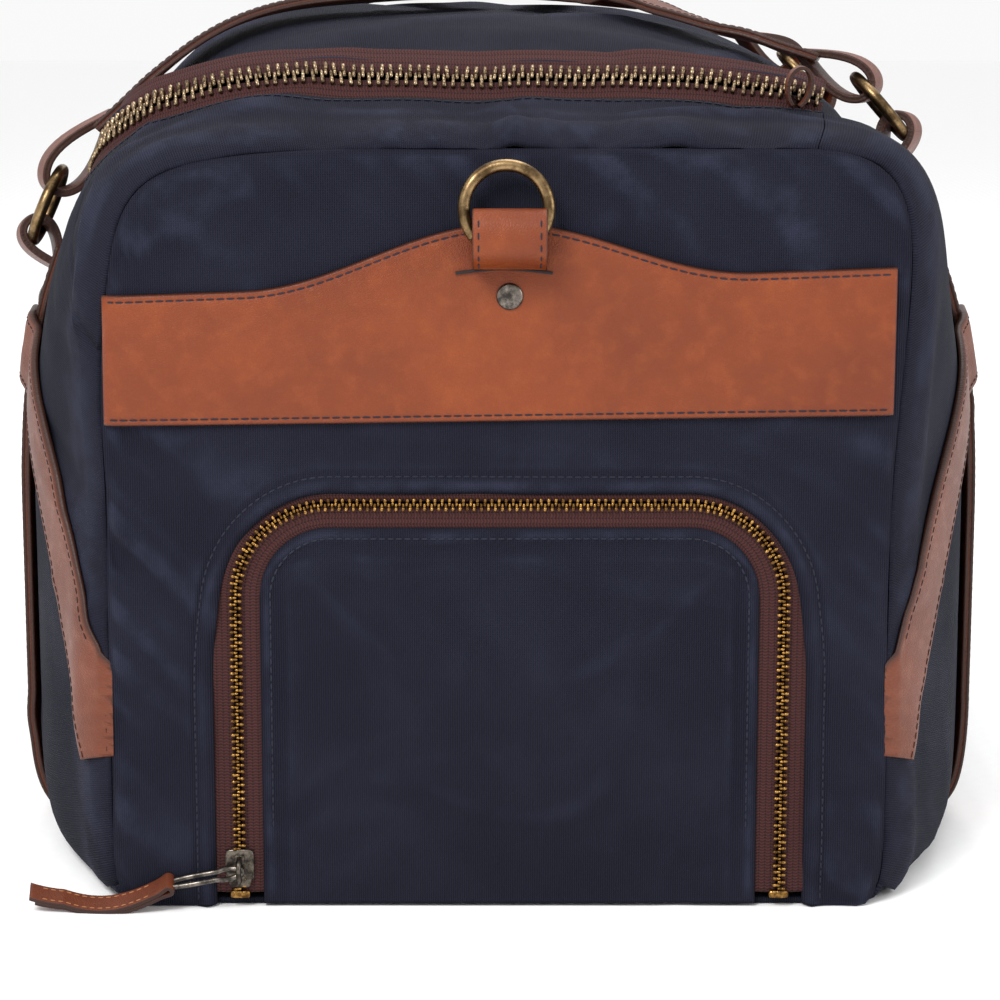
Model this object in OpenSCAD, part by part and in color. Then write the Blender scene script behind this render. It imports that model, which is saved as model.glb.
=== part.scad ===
// Weekender bag: a zipped canvas holdall with leather trim, two strap handles and a shoe pocket
// in its near end. +Z is up, +Y runs from the near end to the far end, and the origin is the
// middle of the base, on the surface that the bag stands on.

/* [Bag] */
// Length of the bag, from end panel to end panel
bag_l = 540; // [480:5:620]
// Width of each end panel
end_w = 286; // [250:2:330]
// Width of the bag at the middle of its length
mid_w = 376; // [340:2:420]
// Height of the end panels
end_h = 277; // [255:1:310]
// Height of the bag at the middle of its length
mid_h = 318; // [295:1:350]
// Thickness of the lined canvas
wall = 2.2; // [1.6:0.1:3]
// Thickness of the two stiffened end panels
end_t = 3; // [2.4:0.1:4]
// How far the seams and straps have rolled round the bag, in degrees
roll = -6; // [-8:0.5:8]

/* [Top opening] */
// Angle of the zip line and of the lid's hinge line from the top, before the roll
zip_angle = 41.5; // [38:0.5:44]
// Distance from each end panel to the zip across the top
zip_inset = 54; // [46:1:70]
// Corner radius of the zip line
zip_corner = 60; // [45:1:75]
// Angle between the zip line and the top of the left side panel
gusset_angle = 12; // [8:0.5:16]

/* [Zips] */
// Width of one row of teeth
chain_w = 2.6; // [2:0.1:3.4]
// Gap between the two rows of teeth, where a slider's wedge runs
chain_gap = 2.4; // [2:0.1:3]
// Width of each zip tape
tape_w = 10; // [8:0.5:14]
// Thickness of the zip tape
tape_t = 0.8; // [0.5:0.1:1.2]
// Canvas edge beside the zip, measured from the middle of the teeth
zip_lip = 8; // [6.5:0.5:10]
// Length of a slider's body
slider_l = 14; // [11:0.5:18]
// Length of a slider's wire pull
pull_l = 27; // [22:1:34]
// Width of a slider's wire pull
pull_w = 8.4; // [7:0.2:11]
// Thickness of a slider's wire pull
pull_t = 1.8; // [1.4:0.1:2.4]
// Length of the leather tab on a pull
tab_l = 50; // [36:1:56]
// Width of the leather tab on a pull
tab_w = 9; // [7:0.5:9.5]

/* [Shoe pocket] */
// Width of the pocket's zip line
shoe_w = 196; // [170:2:215]
// Height of the pocket's zip line above the floor
shoe_h = 149; // [130:1:158]
// Corner radius of the pocket's zip line
shoe_r = 34; // [26:1:45]
// Middle of the pocket, right of the middle of the bag
shoe_x = 4; // [-8:1:8]
// Lowest point of the pocket's zip
shoe_foot = 7; // [6:0.5:9]
// Height of the line on which the pocket's door folds down
door_fold = 25; // [23:0.5:32]
// Depth of the pocket inside the bag
pouch_d = 145; // [110:5:170]
// Thickness of the pocket's lining
pouch_t = 1.5; // [1:0.1:2]

/* [Leather] */
// Width of the straps
strap_w = 25; // [22:0.5:28]
// Thickness of the doubled straps
strap_t = 3.5; // [2.8:0.1:4.2]
// Distance of the belly straps from the middle of the bag
belly_y = 150; // [135:1:165]
// Height of the leather band across each end, at its ends
band_h = 50; // [44:1:56]
// How much higher the band is in the middle
band_rise = 18; // [12:1:22]
// Height of the band's lower edge above the floor
band_z = 178; // [174:1:184]
// Thickness of the band
band_t = 2.5; // [2:0.1:3]
// Slope of the band, in degrees
band_tilt = 1.2; // [0:0.1:2]
// Thickness of the leather that holds a ring
eye_t = 2; // [1.5:0.1:2.5]
// Height at which a brace band leaves the belly strap
brace_top = 192; // [190:1:215]
// Height at which a brace band meets the end seam
brace_foot = 66; // [55:1:80]

/* [Metal] */
// Radius of the rings, to the middle of the wire
ring_r = 15.6; // [14.5:0.1:17]
// Thickness of the ring wire
ring_wire = 4.6; // [4:0.1:5]
// Diameter of a rivet's cap
rivet_d = 9.4; // [8:0.2:11]
// Height of a rivet's cap
rivet_h = 1.8; // [1.4:0.1:2.4]

/* [Handles] */
// How far each handle lies from the other at the top, as an angle from the middle
handle_part = 5; // [4:0.5:8]
// Clear space between the handles and the lid
handle_lift = 5; // [4:0.5:9]

/* [Fits] */
// Space between pieces that move past each other
gap = 0.4; // [0.3:0.05:0.6]
// Space between layers that lie on each other
lay = 0.1; // [0.05:0.05:0.2]

/* [Hidden] */

navy = "#232c3a";
tan_leather = "#b0622f";
tape_brown = "#57322f";
old_brass = "#8d774c";
gunmetal = "#4f4b46";

half_l = bag_l / 2;
shell_y = half_l - end_t;
core_z = 120;
base_drop = core_z + 4;
low_power = 9;
full_depth = 120;
mm_per_deg = 3.32;

zip_s = (roll - zip_angle) * mm_per_deg;
hinge_s = (roll + zip_angle) * mm_per_deg;
side_s = zip_s - gusset_angle * mm_per_deg;
zip_y = half_l - zip_inset;
base_angle = 129;
strap_end = base_angle - 7;
eye_rise = 2.3;
ring_left = roll - 51;
ring_right = roll + 51;

tunnel_half = 12;
ring_low = ring_r + ring_wire / 2;
ring_high = sqrt(pow(ring_r - ring_wire / 2, 2) - pow(tunnel_half, 2));
eye_in = (ring_low - ring_high) / 2 + gap;
eye_out = eye_in + eye_t;
ring_reach = (ring_low + ring_high) / 2;

chape_x = shoe_x;
chape_z = band_z + band_h + band_rise - 3.5;
ring_y = half_l + band_t + eye_out + lay;
ring_lean = 8;
slider_y = 100;
// depth of the zip tape under the canvas's inner face, height of a strap over its outer face, and
// height of a rivet over a strap
tape_drop = 2.8;
strap_lay = 0.5;
rivet_lay = 0.4;
pull_y = 5.2;
main_pull_dir = 90;
shoe_pull_dir = 186;
shoe_slider_z = 14.6;

// ---- the bag's outer surface ----

function mix(a, b, t) = a + (b - a) * t;
function ease(t) = let (c = min(1, max(0, t))) c * c * (3 - 2 * c);
// share of the full bulge at y: none at the end panels, all of it in the middle
function bulge(y) = 1 - pow(min(1, abs(y) / half_l), 4);
function half_width(y) = mix(end_w, mid_w, bulge(y)) / 2;
function top_height(y) = mix(end_h, mid_h, bulge(y));
// squareness of the upper half: square at the ends, round in the middle
function top_power(y) = 1 / mix(0.11, 0.38, ease((half_l - abs(y)) / full_depth));
// distance from the core line to the surface at an angle from the top, towards +X
function reach(y, a) = let (p = abs(a) > 90 && abs(a) < 270 ? low_power : top_power(y),
    b = abs(a) > 90 && abs(a) < 270 ? base_drop : top_height(y) - core_z)
    pow(pow(abs(sin(a)) / half_width(y), p) + pow(abs(cos(a)) / b, p), -1 / p);
function raw(y, a) = reach(y, a) * [sin(a), cos(a)];
function out_dir(y, a) = let (t = raw(y, a + 1) - raw(y, a - 1)) [-t[1], t[0]] / norm(t);
// point of the surface at y and angle a, moved outwards by off
function skin(y, a, off = 0) = let (p = raw(y, a) + out_dir(y, a) * off)
    [p[0], y, max(core_z + p[1], max(0, -off))];
// the same, with the angle given as a distance round the bag
function cloth(s, y, off = 0) = skin(y, s / mm_per_deg, off);
function steps(a, b, n) = [for (i = [0:n]) mix(a, b, i / n)];

// closed slab between two equal grids of points, front being its outer side
module slab(front, back) {
    r = len(front);
    c = len(front[0]);
    n = r * c;
    points = concat([for (row = front) each row], [for (row = back) each row]);
    grid = [for (i = [0:r - 2], j = [0:c - 2]) [i * c + j, i * c + j + 1, (i + 1) * c + j + 1, (i + 1) * c + j]];
    rim = concat([for (j = [0:c - 1]) j], [for (i = [1:r - 1]) i * c + c - 1],
        [for (j = [c - 2:-1:0]) (r - 1) * c + j], [for (i = [r - 2:-1:1]) i * c]);
    faces = concat(
        [for (q = grid) each [[q[2], q[1], q[0]], [q[3], q[2], q[0]]]],
        [for (q = grid) each [[n + q[0], n + q[1], n + q[2]], [n + q[0], n + q[2], n + q[3]]]],
        [for (k = [0:len(rim) - 1]) let (a = rim[k], b = rim[(k + 1) % len(rim)])
            each [[a, b, n + b], [a, n + b, n + a]]]);
    polyhedron(points, faces);
}

// part of the bag's surface between two angles
module wall_panel(ys, angles, t = wall, off = 0) {
    slab([for (y = ys) [for (a = angles) skin(y, a, off)]],
        [for (y = ys) [for (a = angles) skin(y, a, off - t)]]);
}

body_ys = concat([-shell_y], steps(-half_l + 14, -half_l + 110, 6), steps(-120, 120, 6),
    steps(half_l - 110, half_l - 14, 6), [shell_y]);

// ---- the main zip's line: [distance round the bag, y, outward direction, outer border] ----

corner_n = 6;
function near_leg() = [for (s = steps(hinge_s, zip_s + zip_corner, 7))
    [s, -zip_y, 0, -1, s, -shell_y]];
function near_corner() = [for (i = [1:corner_n - 1]) let (f = i / corner_n, a = 270 - 90 * f)
    [zip_s + zip_corner * (1 + cos(a)), -zip_y + zip_corner * (1 + sin(a)), cos(a), sin(a),
        f < 0.5 ? mix(zip_s + zip_corner, side_s, 2 * f) : side_s,
        f < 0.5 ? -shell_y : mix(-shell_y, -zip_y + zip_corner, 2 * f - 1)]];
function left_leg() = [for (y = steps(-zip_y + zip_corner, zip_y - zip_corner, 10))
    [zip_s, y, -1, 0, side_s, y]];
function mirrored(list) = [for (i = [len(list) - 1:-1:0]) let (p = list[i])
    [p[0], -p[1], p[2], -p[3], p[4], -p[5]]];
zip_line = concat(near_leg(), near_corner(), left_leg(), mirrored(near_corner()), mirrored(near_leg()));
near_count = 8 + corner_n / 2;

function beside(p, o, off) = cloth(p[0] + p[2] * o, p[1] + p[3] * o, off);
// strip along the zip line, from o1 to o2 outside it
module zip_strip(o1, o2, top, t) {
    slab([for (p = zip_line) [beside(p, o2, top), beside(p, o1, top)]],
        [for (p = zip_line) [beside(p, o2, top - t), beside(p, o1, top - t)]]);
}

// canvas between the zip and the border of the top, for one stretch of the zip line
module gusset(from, to) {
    part = [for (i = [from:to]) zip_line[i]];
    function at(p, f, off) = cloth(mix(p[4], p[0] + p[2] * zip_lip, f), mix(p[5], p[1] + p[3] * zip_lip, f), off);
    slab([for (p = part) [for (f = steps(0, 1, 4)) at(p, f, 0)]],
        [for (p = part) [for (f = steps(0, 1, 4)) at(p, f, -wall)]]);
}

// left edge of the lid at y
lid_y = zip_y - zip_lip;
lid_corner = zip_corner - zip_lip;
function lid_left(y) = let (d = max(0, abs(y) - (lid_y - lid_corner)))
    zip_s + zip_corner - sqrt(max(0, pow(lid_corner, 2) - d * d));

// ---- canvas ----

module base_panel() {
    color(navy) wall_panel(body_ys, steps(base_angle + 0.2, 359.8 - base_angle, 24));
}

module base_board() {
    color("#6b5a48") translate([-end_w * 0.38, -half_l + 30, wall + lay]) cube([end_w * 0.76, bag_l - 60, 2.4]);
}

module side_panel_left() {
    color(navy) wall_panel(body_ys, steps(-base_angle, side_s / mm_per_deg - 0.1, 12));
}

module side_panel_right() {
    color(navy) wall_panel(body_ys, steps(hinge_s / mm_per_deg + 0.1, base_angle, 12));
}

// outline of an end panel, grown by off
module end_outline(off = 0) {
    polygon([for (a = [0:4:356]) let (p = skin(half_l, a, off)) [p[0], p[2]]]);
}

// flat plate standing on the near end, its outer face at y = -half_l - front
module near_plate(t, front = 0) {
    translate([0, -half_l - front + t, 0]) rotate([90, 0, 0]) linear_extrude(t) children();
}

// the pocket's zip line as a filled arch, grown by off, standing on foot
module arch(off, foot) {
    w = shoe_w / 2 + off;
    h = shoe_h + off;
    r = shoe_r + off;
    translate([shoe_x, 0]) {
        translate([-w, foot]) square([2 * w, h - r - foot]);
        translate([-w + r, foot]) square([2 * (w - r), h - foot]);
        for (side = [-1, 1]) translate([side * (w - r), h - r]) circle(r, $fn = 96);
    }
}

module above(z) {
    intersection() {
        children();
        translate([-end_w, z]) square([2 * end_w, end_h]);
    }
}

module near_end_panel() {
    color(navy) near_plate(end_t) difference() {
        end_outline();
        difference() {
            arch(zip_lip - 1.5, shoe_foot);
            translate([shoe_x - shoe_w / 2 + zip_lip, 0]) square([shoe_w - 2 * zip_lip, door_fold]);
        }
        translate([chape_x, chape_rivet_z()]) circle(1.7, $fn = 32);
    }
}

module far_end_panel() {
    color(navy) mirror([0, 1, 0]) near_plate(end_t) difference() {
        end_outline();
        translate([chape_x, chape_rivet_z()]) circle(1.7, $fn = 32);
    }
}

module gusset_near() {
    color(navy) gusset(0, near_count);
}

module gusset_left() {
    color(navy) gusset(near_count, len(zip_line) - 1 - near_count);
}

module gusset_far() {
    color(navy) gusset(len(zip_line) - 1 - near_count, len(zip_line) - 1);
}

lid_ys = concat(steps(-lid_y, -lid_y + lid_corner, 6), steps(-110, 110, 6), steps(lid_y - lid_corner, lid_y, 6));

module lid_panel() {
    right = hinge_s - gap;
    color(navy) slab(
        [for (y = lid_ys) [for (f = steps(0, 1, 18)) cloth(mix(lid_left(y), right, f), y, 0)]],
        [for (y = lid_ys) [for (f = steps(0, 1, 18)) cloth(mix(lid_left(y), right, f), y, -wall)]]);
}

module shoe_door_panel() {
    color(navy) near_plate(end_t - gap) above(door_fold + gap) arch(-zip_lip, shoe_foot);
}

module shoe_pouch() {
    foot = wall + 2.4 + 4 * lay;
    color("#2c3038") translate([0, -shell_y + tape_t + 3 * lay, 0]) rotate([90, 0, 0]) mirror([0, 0, 1]) difference() {
        linear_extrude(pouch_d) arch(zip_lip + 5 + pouch_t, foot);
        translate([0, 0, -1]) linear_extrude(pouch_d + 1 - pouch_t) arch(zip_lip + 5, foot + pouch_t);
    }
}

// ---- zips ----

chain_depth = wall + tape_drop + tape_t;
module main_zip_tape_outer() {
    color(tape_brown) zip_strip(chain_gap / 2 + chain_w + lay, chain_gap / 2 + chain_w + tape_w, -wall - tape_drop, tape_t);
}

module main_zip_chain_outer() {
    color(old_brass) zip_strip(chain_gap / 2, chain_gap / 2 + chain_w, 0, chain_depth);
}

// the lid's half of the zip stops short of the lid's hinge line
function lid_side(p) = [min(p[0], hinge_s - gap), p[1], p[2], p[3]];
module lid_strip(o1, o2, top, t) {
    line = [for (p = zip_line) lid_side(p)];
    slab([for (p = line) [beside(p, o2, top), beside(p, o1, top)]],
        [for (p = line) [beside(p, o2, top - t), beside(p, o1, top - t)]]);
}

module main_zip_tape_inner() {
    color(tape_brown) lid_strip(-chain_gap / 2 - chain_w - tape_w, -chain_gap / 2 - chain_w - lay, -wall - tape_drop, tape_t);
}

module main_zip_chain_inner() {
    color(old_brass) lid_strip(-chain_gap / 2 - chain_w, -chain_gap / 2, 0, chain_depth);
}

// the arch between two distances from the pocket's zip line
module arch_ring(o1, o2, foot) {
    difference() {
        arch(o2, foot);
        arch(o1, foot - 1);
    }
}

module shoe_tape_plate() {
    near_plate(tape_t, -end_t - lay) children();
}

module shoe_chain_plate() {
    near_plate(end_t + tape_t + lay) children();
}

module below(z) {
    intersection() {
        children();
        translate([-end_w, 0]) square([2 * end_w, z]);
    }
}

module shoe_zip_tape_outer() {
    color(tape_brown) shoe_tape_plate() {
        arch_ring(chain_gap / 2 + chain_w + lay, zip_lip + 4, shoe_foot);
        below(door_fold - gap) arch_ring(-zip_lip - 4, -chain_gap / 2 - chain_w - lay, shoe_foot);
    }
}

module shoe_zip_chain_outer() {
    color(old_brass) shoe_chain_plate() {
        arch_ring(chain_gap / 2, chain_gap / 2 + chain_w, shoe_foot);
        below(door_fold - gap) arch_ring(-chain_gap / 2 - chain_w, -chain_gap / 2, shoe_foot);
    }
}

module shoe_zip_tape_inner() {
    color(tape_brown) shoe_tape_plate() above(door_fold + gap)
        arch_ring(-zip_lip - 4, -chain_gap / 2 - chain_w - lay, shoe_foot);
}

module shoe_zip_chain_inner() {
    color(old_brass) shoe_chain_plate() above(door_fold + gap)
        arch_ring(-chain_gap / 2 - chain_w, -chain_gap / 2, shoe_foot);
}

module shoe_zip_stops() {
    w = chain_gap + 2 * chain_w;
    color(old_brass) for (side = [-1, 1]) translate([shoe_x + side * shoe_w / 2 - w / 2, -half_l - 0.6, shoe_foot - 3 - lay])
        cube([w, 0.6, 3]);
}

// loop of thin leather standing at the right end of the zip
module zip_end_tab() {
    r = 5.2;
    p = cloth(hinge_s - 4, -zip_y, lay);
    color(tan_leather) translate(p) rotate([0, 14, 0]) rotate([90, 0, 0]) linear_extrude(12) difference() {
        union() {
            translate([0, 10]) circle(r, $fn = 48);
            translate([-r, 0]) square([2 * r, 10]);
        }
        translate([0, 10]) circle(r - 1.6, $fn = 48);
        translate([-r + 1.6, 1.6]) square([2 * r - 3.2, 8.4]);
    }
}

module zip_end_tab_near() {
    translate([0, -lay - chain_gap, 0]) zip_end_tab();
}

module zip_end_tab_far() {
    mirror([0, 1, 0]) zip_end_tab_near();
}

// slider in its own frame: teeth along Y, outward +Z, the surface of the teeth at z = 0
module slider_shape(depth) {
    w = chain_gap + 2 * chain_w + 2.4;
    translate([-w / 2, -slider_l / 2, gap]) cube([w, slider_l, 1.6]);
    translate([-w / 2, -slider_l / 2, -depth - gap - 1.4]) cube([w, slider_l, 1.4]);
    translate([-chain_gap / 2 + gap, -slider_l / 2, -depth - gap - 0.2]) cube([chain_gap - 2 * gap, slider_l * 0.4, depth + 2 * gap + 0.4]);
    translate([0, 0, gap + 1.4]) cylinder(h = pull_y + pull_t / 2 + gap - 1, d = 2.4, $fn = 32);
    translate([0, 0, gap + pull_y + pull_t / 2 + gap]) cylinder(h = 1.2, d = 4.6, $fn = 32);
}

// wire pull in the slider's frame, pointing along +X before it is turned
module pull_shape() {
    translate([0, 0, gap + pull_y - pull_t / 2]) linear_extrude(pull_t) {
        difference() {
            circle(3.2, $fn = 48);
            circle(1.2 + gap, $fn = 48);
        }
        difference() {
            union() {
                translate([2.6 + pull_w / 2, 0]) circle(d = pull_w, $fn = 48);
                translate([pull_l - pull_w / 2, 0]) circle(d = pull_w, $fn = 48);
                translate([2.6 + pull_w / 2, -pull_w / 2]) square([pull_l - pull_w - 2.6, pull_w]);
            }
            circle(3, $fn = 48);
            translate([2.6 + pull_w / 2, 0]) circle(d = pull_w - 3.2, $fn = 48);
            translate([pull_l - pull_w / 2, 0]) circle(d = pull_w - 3.2, $fn = 48);
            translate([2.6 + pull_w / 2, 1.6 - pull_w / 2]) square([pull_l - pull_w - 2.6, pull_w - 3.2]);
        }
    }
}

// leather tab in the slider's frame, folded round the far end of the wire pull
tab_t = 3.4;
module tab_shape() {
    bar_x = pull_l - 0.8;
    translate([0, 0, gap + pull_y]) {
        difference() {
            union() {
                translate([bar_x - 2.9, -1.2, -2.3]) cube([5.8, 2.4, 4.6]);
                translate([bar_x + 2.6, -tab_w / 2, -tab_t / 2]) cube([tab_l, tab_w, tab_t]);
            }
            translate([bar_x, 3, 0]) rotate([90, 0, 0]) cylinder(h = 6, r = 1.4 + gap / 2, $fn = 32);
        }
    }
}

module on_main_zip() {
    n = out_dir(slider_y, zip_s / mm_per_deg);
    translate(cloth(zip_s, slider_y)) rotate([0, atan2(n[0], n[1]), 0]) children();
}

module on_shoe_zip() {
    translate([shoe_x - shoe_w / 2, -half_l, shoe_slider_z]) rotate([90, 0, 0]) children();
}

module main_slider_body() {
    color(old_brass) on_main_zip() translate([0, 0, 0.8]) slider_shape(chain_depth + 1.6);
}

module main_pull_wire() {
    color(gunmetal) on_main_zip() translate([0, 0, 0.8]) rotate([0, 0, main_pull_dir]) pull_shape();
}

module main_pull_leather() {
    color(tan_leather) on_main_zip() translate([0, 0, 0.8]) rotate([0, 0, main_pull_dir]) tab_shape();
}

module shoe_slider_body() {
    color(old_brass) on_shoe_zip() slider_shape(end_t + tape_t + lay);
}

module shoe_pull_wire() {
    color(gunmetal) on_shoe_zip() rotate([0, 0, shoe_pull_dir]) pull_shape();
}

module shoe_pull_leather() {
    color(tan_leather) on_shoe_zip() rotate([0, 0, shoe_pull_dir]) tab_shape();
}

// ---- leather on the ends ----

function chape_rivet_z() = band_z + band_h - 4.6;
function band_top(x) = band_z + band_h + band_rise * (abs(x) < 90 ? 0.5 + 0.5 * cos(2 * x) : 0) + x * tan(band_tilt);
module band_outline() {
    w = end_w / 2 - 1.6;
    xs = steps(-w, w, 36);
    difference() {
        polygon(concat([for (x = xs) [x, band_top(x)]],
            [[w, band_z + w * tan(band_tilt)], [-w, band_z - w * tan(band_tilt)]]));
        translate([chape_x, chape_rivet_z()]) circle(1.7, $fn = 32);
    }
}

module near_end_band() {
    color(tan_leather) near_plate(band_t, band_t) band_outline();
}

module far_end_band() {
    color(tan_leather) mirror([0, 1, 0]) near_end_band();
}

// tunnel of leather round a ring's wire, along Y, with its middle at the origin
module eye(w) {
    rotate([90, 0, 0]) translate([0, 0, -w / 2]) difference() {
        cylinder(h = w, r = eye_out, $fn = 64);
        translate([0, 0, -1]) cylinder(h = w + 2, r = eye_in, $fn = 64);
    }
}

module near_ring_chape() {
    w = 2 * tunnel_half;
    color(tan_leather) translate([chape_x, 0, 0]) {
        translate([0, -ring_y, chape_z]) rotate([0, 0, 90]) eye(w);
        difference() {
            translate([-w / 2, -half_l - band_t - lay - eye_t, chape_rivet_z() + rivet_d / 2 + 1])
                cube([w, eye_t, chape_z - chape_rivet_z() - rivet_d / 2 - 1]);
            translate([-w, -ring_y, chape_z]) rotate([0, 90, 0]) cylinder(h = 2 * w, r = eye_in, $fn = 64);
        }
    }
}

module far_ring_chape() {
    mirror([0, 1, 0]) near_ring_chape();
}

// domed cap on a shank, outward along +Z, standing on z = 0
module rivet_cap(shank = 0) {
    r = rivet_d / 2;
    ball = (r * r + rivet_h * rivet_h) / (2 * rivet_h);
    intersection() {
        translate([0, 0, rivet_h - ball]) sphere(ball, $fn = 64);
        cylinder(h = rivet_h, r = r, $fn = 48);
    }
    if (shank > 0) translate([0, 0, -shank]) cylinder(h = shank + 0.1, r = 1.6, $fn = 32);
}

module chape_rivets() {
    color(gunmetal) for (m = [0, 1]) mirror([0, m, 0])
        translate([chape_x, -half_l - band_t, chape_rivet_z()]) rotate([90, 0, 0]) rivet_cap(band_t + end_t);
}

// ---- belly straps, braces and rings ----

// middle of the eye over a belly strap, clear of the strap's fullest edge
function eye_place(a) = skin(-belly_y, a, strap_t + eye_rise + eye_out);
function up_dir(a) = let (n = out_dir(-belly_y, a)) a < 0 ? [-n[1], n[0]] * -1 : [-n[1], n[0]];
function along(p, d, k) = [p[0] + d[0] * k, p[1], p[2] + d[1] * k];

module belly_strap() {
    ys = [for (k = [-1, 0, 1]) -belly_y + k * strap_w / 2];
    top = strap_t + strap_lay;
    color(tan_leather) {
        for (side = [-1, 1]) {
            a = side < 0 ? ring_left : ring_right;
            angles = side < 0 ? steps(-strap_end, a, 18) : steps(a, strap_end, 18);
            slab([for (y = ys) [for (b = angles) skin(y, b, top)]],
                [for (y = ys) [for (b = angles) skin(y, b, strap_lay)]]);
            translate(eye_place(a)) eye(2 * tunnel_half);
        }
    }
}

module belly_strap_near() {
    belly_strap();
}

module belly_strap_far() {
    mirror([0, 1, 0]) belly_strap();
}

// angle at which the surface at y has height z, found by halving
function angle_at(y, z, lo = 25, hi = 128, n = 14) = let (m = (lo + hi) / 2)
    n == 0 ? m : skin(y, m)[2] > z ? angle_at(y, z, m, hi, n - 1) : angle_at(y, z, lo, m, n - 1);

// band of leather from the belly strap, down and along to the end seam
module brace_band(side) {
    n = 16;
    edge = strap_t + 2 * rivet_lay;
    function mid(t) = let (y = mix(-belly_y + 4, -shell_y, pow(t, 0.7)), z = mix(brace_top, brace_foot, pow(t, 1.05))) [y, z];
    function border(t, k) = let (p = mid(t), q = mid(min(1, t + 0.02)), o = mid(max(0, t - 0.02)), d = q - o,
        u = [-d[1], d[0]] / norm(d), b = p + u * k * strap_w / 2) [max(-shell_y, min(-belly_y + strap_w / 2, b[0])), b[1]];
    function lift(y) = edge * ease((y + belly_y + strap_w / 2 + 16) / 14) + strap_lay;
    function at(t, k, off) = let (b = border(t, k)) skin(b[0], side * angle_at(b[0], b[1]), lift(b[0]) + off);
    color(tan_leather)
        slab([for (t = steps(0, 1, n)) [for (k = [1, 0, -1]) at(t, k * side, strap_t)]],
            [for (t = steps(0, 1, n)) [for (k = [1, 0, -1]) at(t, k * side, 0)]]);
}

module brace_band_near_left() {
    brace_band(-1);
}

module brace_band_near_right() {
    brace_band(1);
}

module brace_band_far_left() {
    mirror([0, 1, 0]) brace_band(-1);
}

module brace_band_far_right() {
    mirror([0, 1, 0]) brace_band(1);
}

// rivet cap on the surface at y and angle a, raised by off
module surface_rivet(y, a, off) {
    n = out_dir(y, a);
    translate(skin(y, a, off)) rotate([0, atan2(n[0], n[1]), 0]) rivet_cap();
}

module strap_rivets() {
    drop = 6;
    color(gunmetal) for (m = [0, 1], side = [-1, 1]) mirror([0, m, 0]) {
        a = side < 0 ? ring_left - drop : ring_right + drop;
        surface_rivet(-belly_y, a, strap_t + strap_lay + rivet_lay);
    }
}

// ring whose wire runs through an eye at the origin: it stands up along +Z, in the YZ plane
module ring_shape() {
    translate([0, 0, ring_reach]) rotate([0, 90, 0]) rotate_extrude($fn = 96) translate([ring_r, 0]) circle(d = ring_wire, $fn = 32);
}

module end_ring() {
    color(old_brass) translate([chape_x, -ring_y, chape_z]) rotate([-ring_lean, 0, 0]) rotate([0, 0, 90]) ring_shape();
}

module near_end_ring() {
    end_ring();
}

module far_end_ring() {
    mirror([0, 1, 0]) end_ring();
}

module side_ring(a) {
    u = up_dir(a);
    color(old_brass) translate(eye_place(a)) rotate([0, atan2(u[0], u[1]), 0]) ring_shape();
}

module side_ring_left_near() {
    side_ring(ring_left);
}

module side_ring_left_far() {
    mirror([0, 1, 0]) side_ring(ring_left);
}

module side_ring_right_near() {
    side_ring(ring_right);
}

module side_ring_right_far() {
    mirror([0, 1, 0]) side_ring(ring_right);
}

// ---- handles ----

// strap from ring to ring: it leaves the near ring up the side, turns and crosses the top lengthwise
module handle_strap(side) {
    foot = side < 0 ? ring_left : ring_right;
    u = up_dir(foot);
    eye2 = along(eye_place(foot), u, 2 * ring_reach);
    start_a = atan2(eye2[0], eye2[2] - core_z);
    start_off = norm([eye2[0], eye2[2] - core_z]) - reach(belly_y, start_a);
    crest = side * handle_part;
    first = 8;
    function spot(f) = [-belly_y * cos(f), mix(start_a, crest, sin(f))];
    function rise(f) = mix(start_off, handle_lift + strap_t / 2, ease(sin(f) * 2.4));
    function mid(f) = let (p = spot(f)) skin(p[0], p[1], rise(f));
    function normal(f) = let (p = spot(f), n = out_dir(p[0], p[1])) [n[0], 0, n[1]];
    function unit(v) = v / norm(v);
    function across(f) = unit(cross(unit(mid(f + 1) - mid(f - 1)), normal(f)));
    function row(f, k) = [for (w = [-0.5, 0.5]) mid(f) + across(f) * w * strap_w + normal(f) * k * strap_t / 2];
    turns = steps(first, 180 - first, 36);
    color(tan_leather) {
        slab([for (f = turns) row(f, 1)], [for (f = turns) row(f, -1)]);
        for (m = [0, 1]) mirror([0, m, 0]) translate(eye2) {
            eye(2 * tunnel_half);
            rotate([0, atan2(u[0], u[1]), 0]) translate([-strap_t / 2, -tunnel_half, eye_in + 0.5]) cube([strap_t, 2 * tunnel_half, 9]);
        }
    }
}

module handle_strap_left() {
    handle_strap(-1);
}

module handle_strap_right() {
    handle_strap(1);
}

base_panel();
base_board();
side_panel_left();
side_panel_right();
near_end_panel();
far_end_panel();
gusset_near();
gusset_left();
gusset_far();
main_zip_tape_outer();
main_zip_chain_outer();
zip_end_tab_near();
zip_end_tab_far();
shoe_zip_tape_outer();
shoe_zip_chain_outer();
shoe_zip_stops();
shoe_pouch();
near_end_band();
far_end_band();
near_ring_chape();
far_ring_chape();
chape_rivets();
belly_strap_near();
belly_strap_far();
brace_band_near_left();
brace_band_near_right();
brace_band_far_left();
brace_band_far_right();
strap_rivets();
lid_panel();
main_zip_tape_inner();
main_zip_chain_inner();
shoe_door_panel();
shoe_zip_tape_inner();
shoe_zip_chain_inner();
near_end_ring();
far_end_ring();
side_ring_left_near();
side_ring_left_far();
side_ring_right_near();
side_ring_right_far();
handle_strap_left();
handle_strap_right();
main_slider_body();
main_pull_wire();
main_pull_leather();
shoe_slider_body();
shoe_pull_wire();
shoe_pull_leather();
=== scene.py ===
"""Weekender bag: canvas, leather trim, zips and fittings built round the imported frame."""
import math

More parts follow.
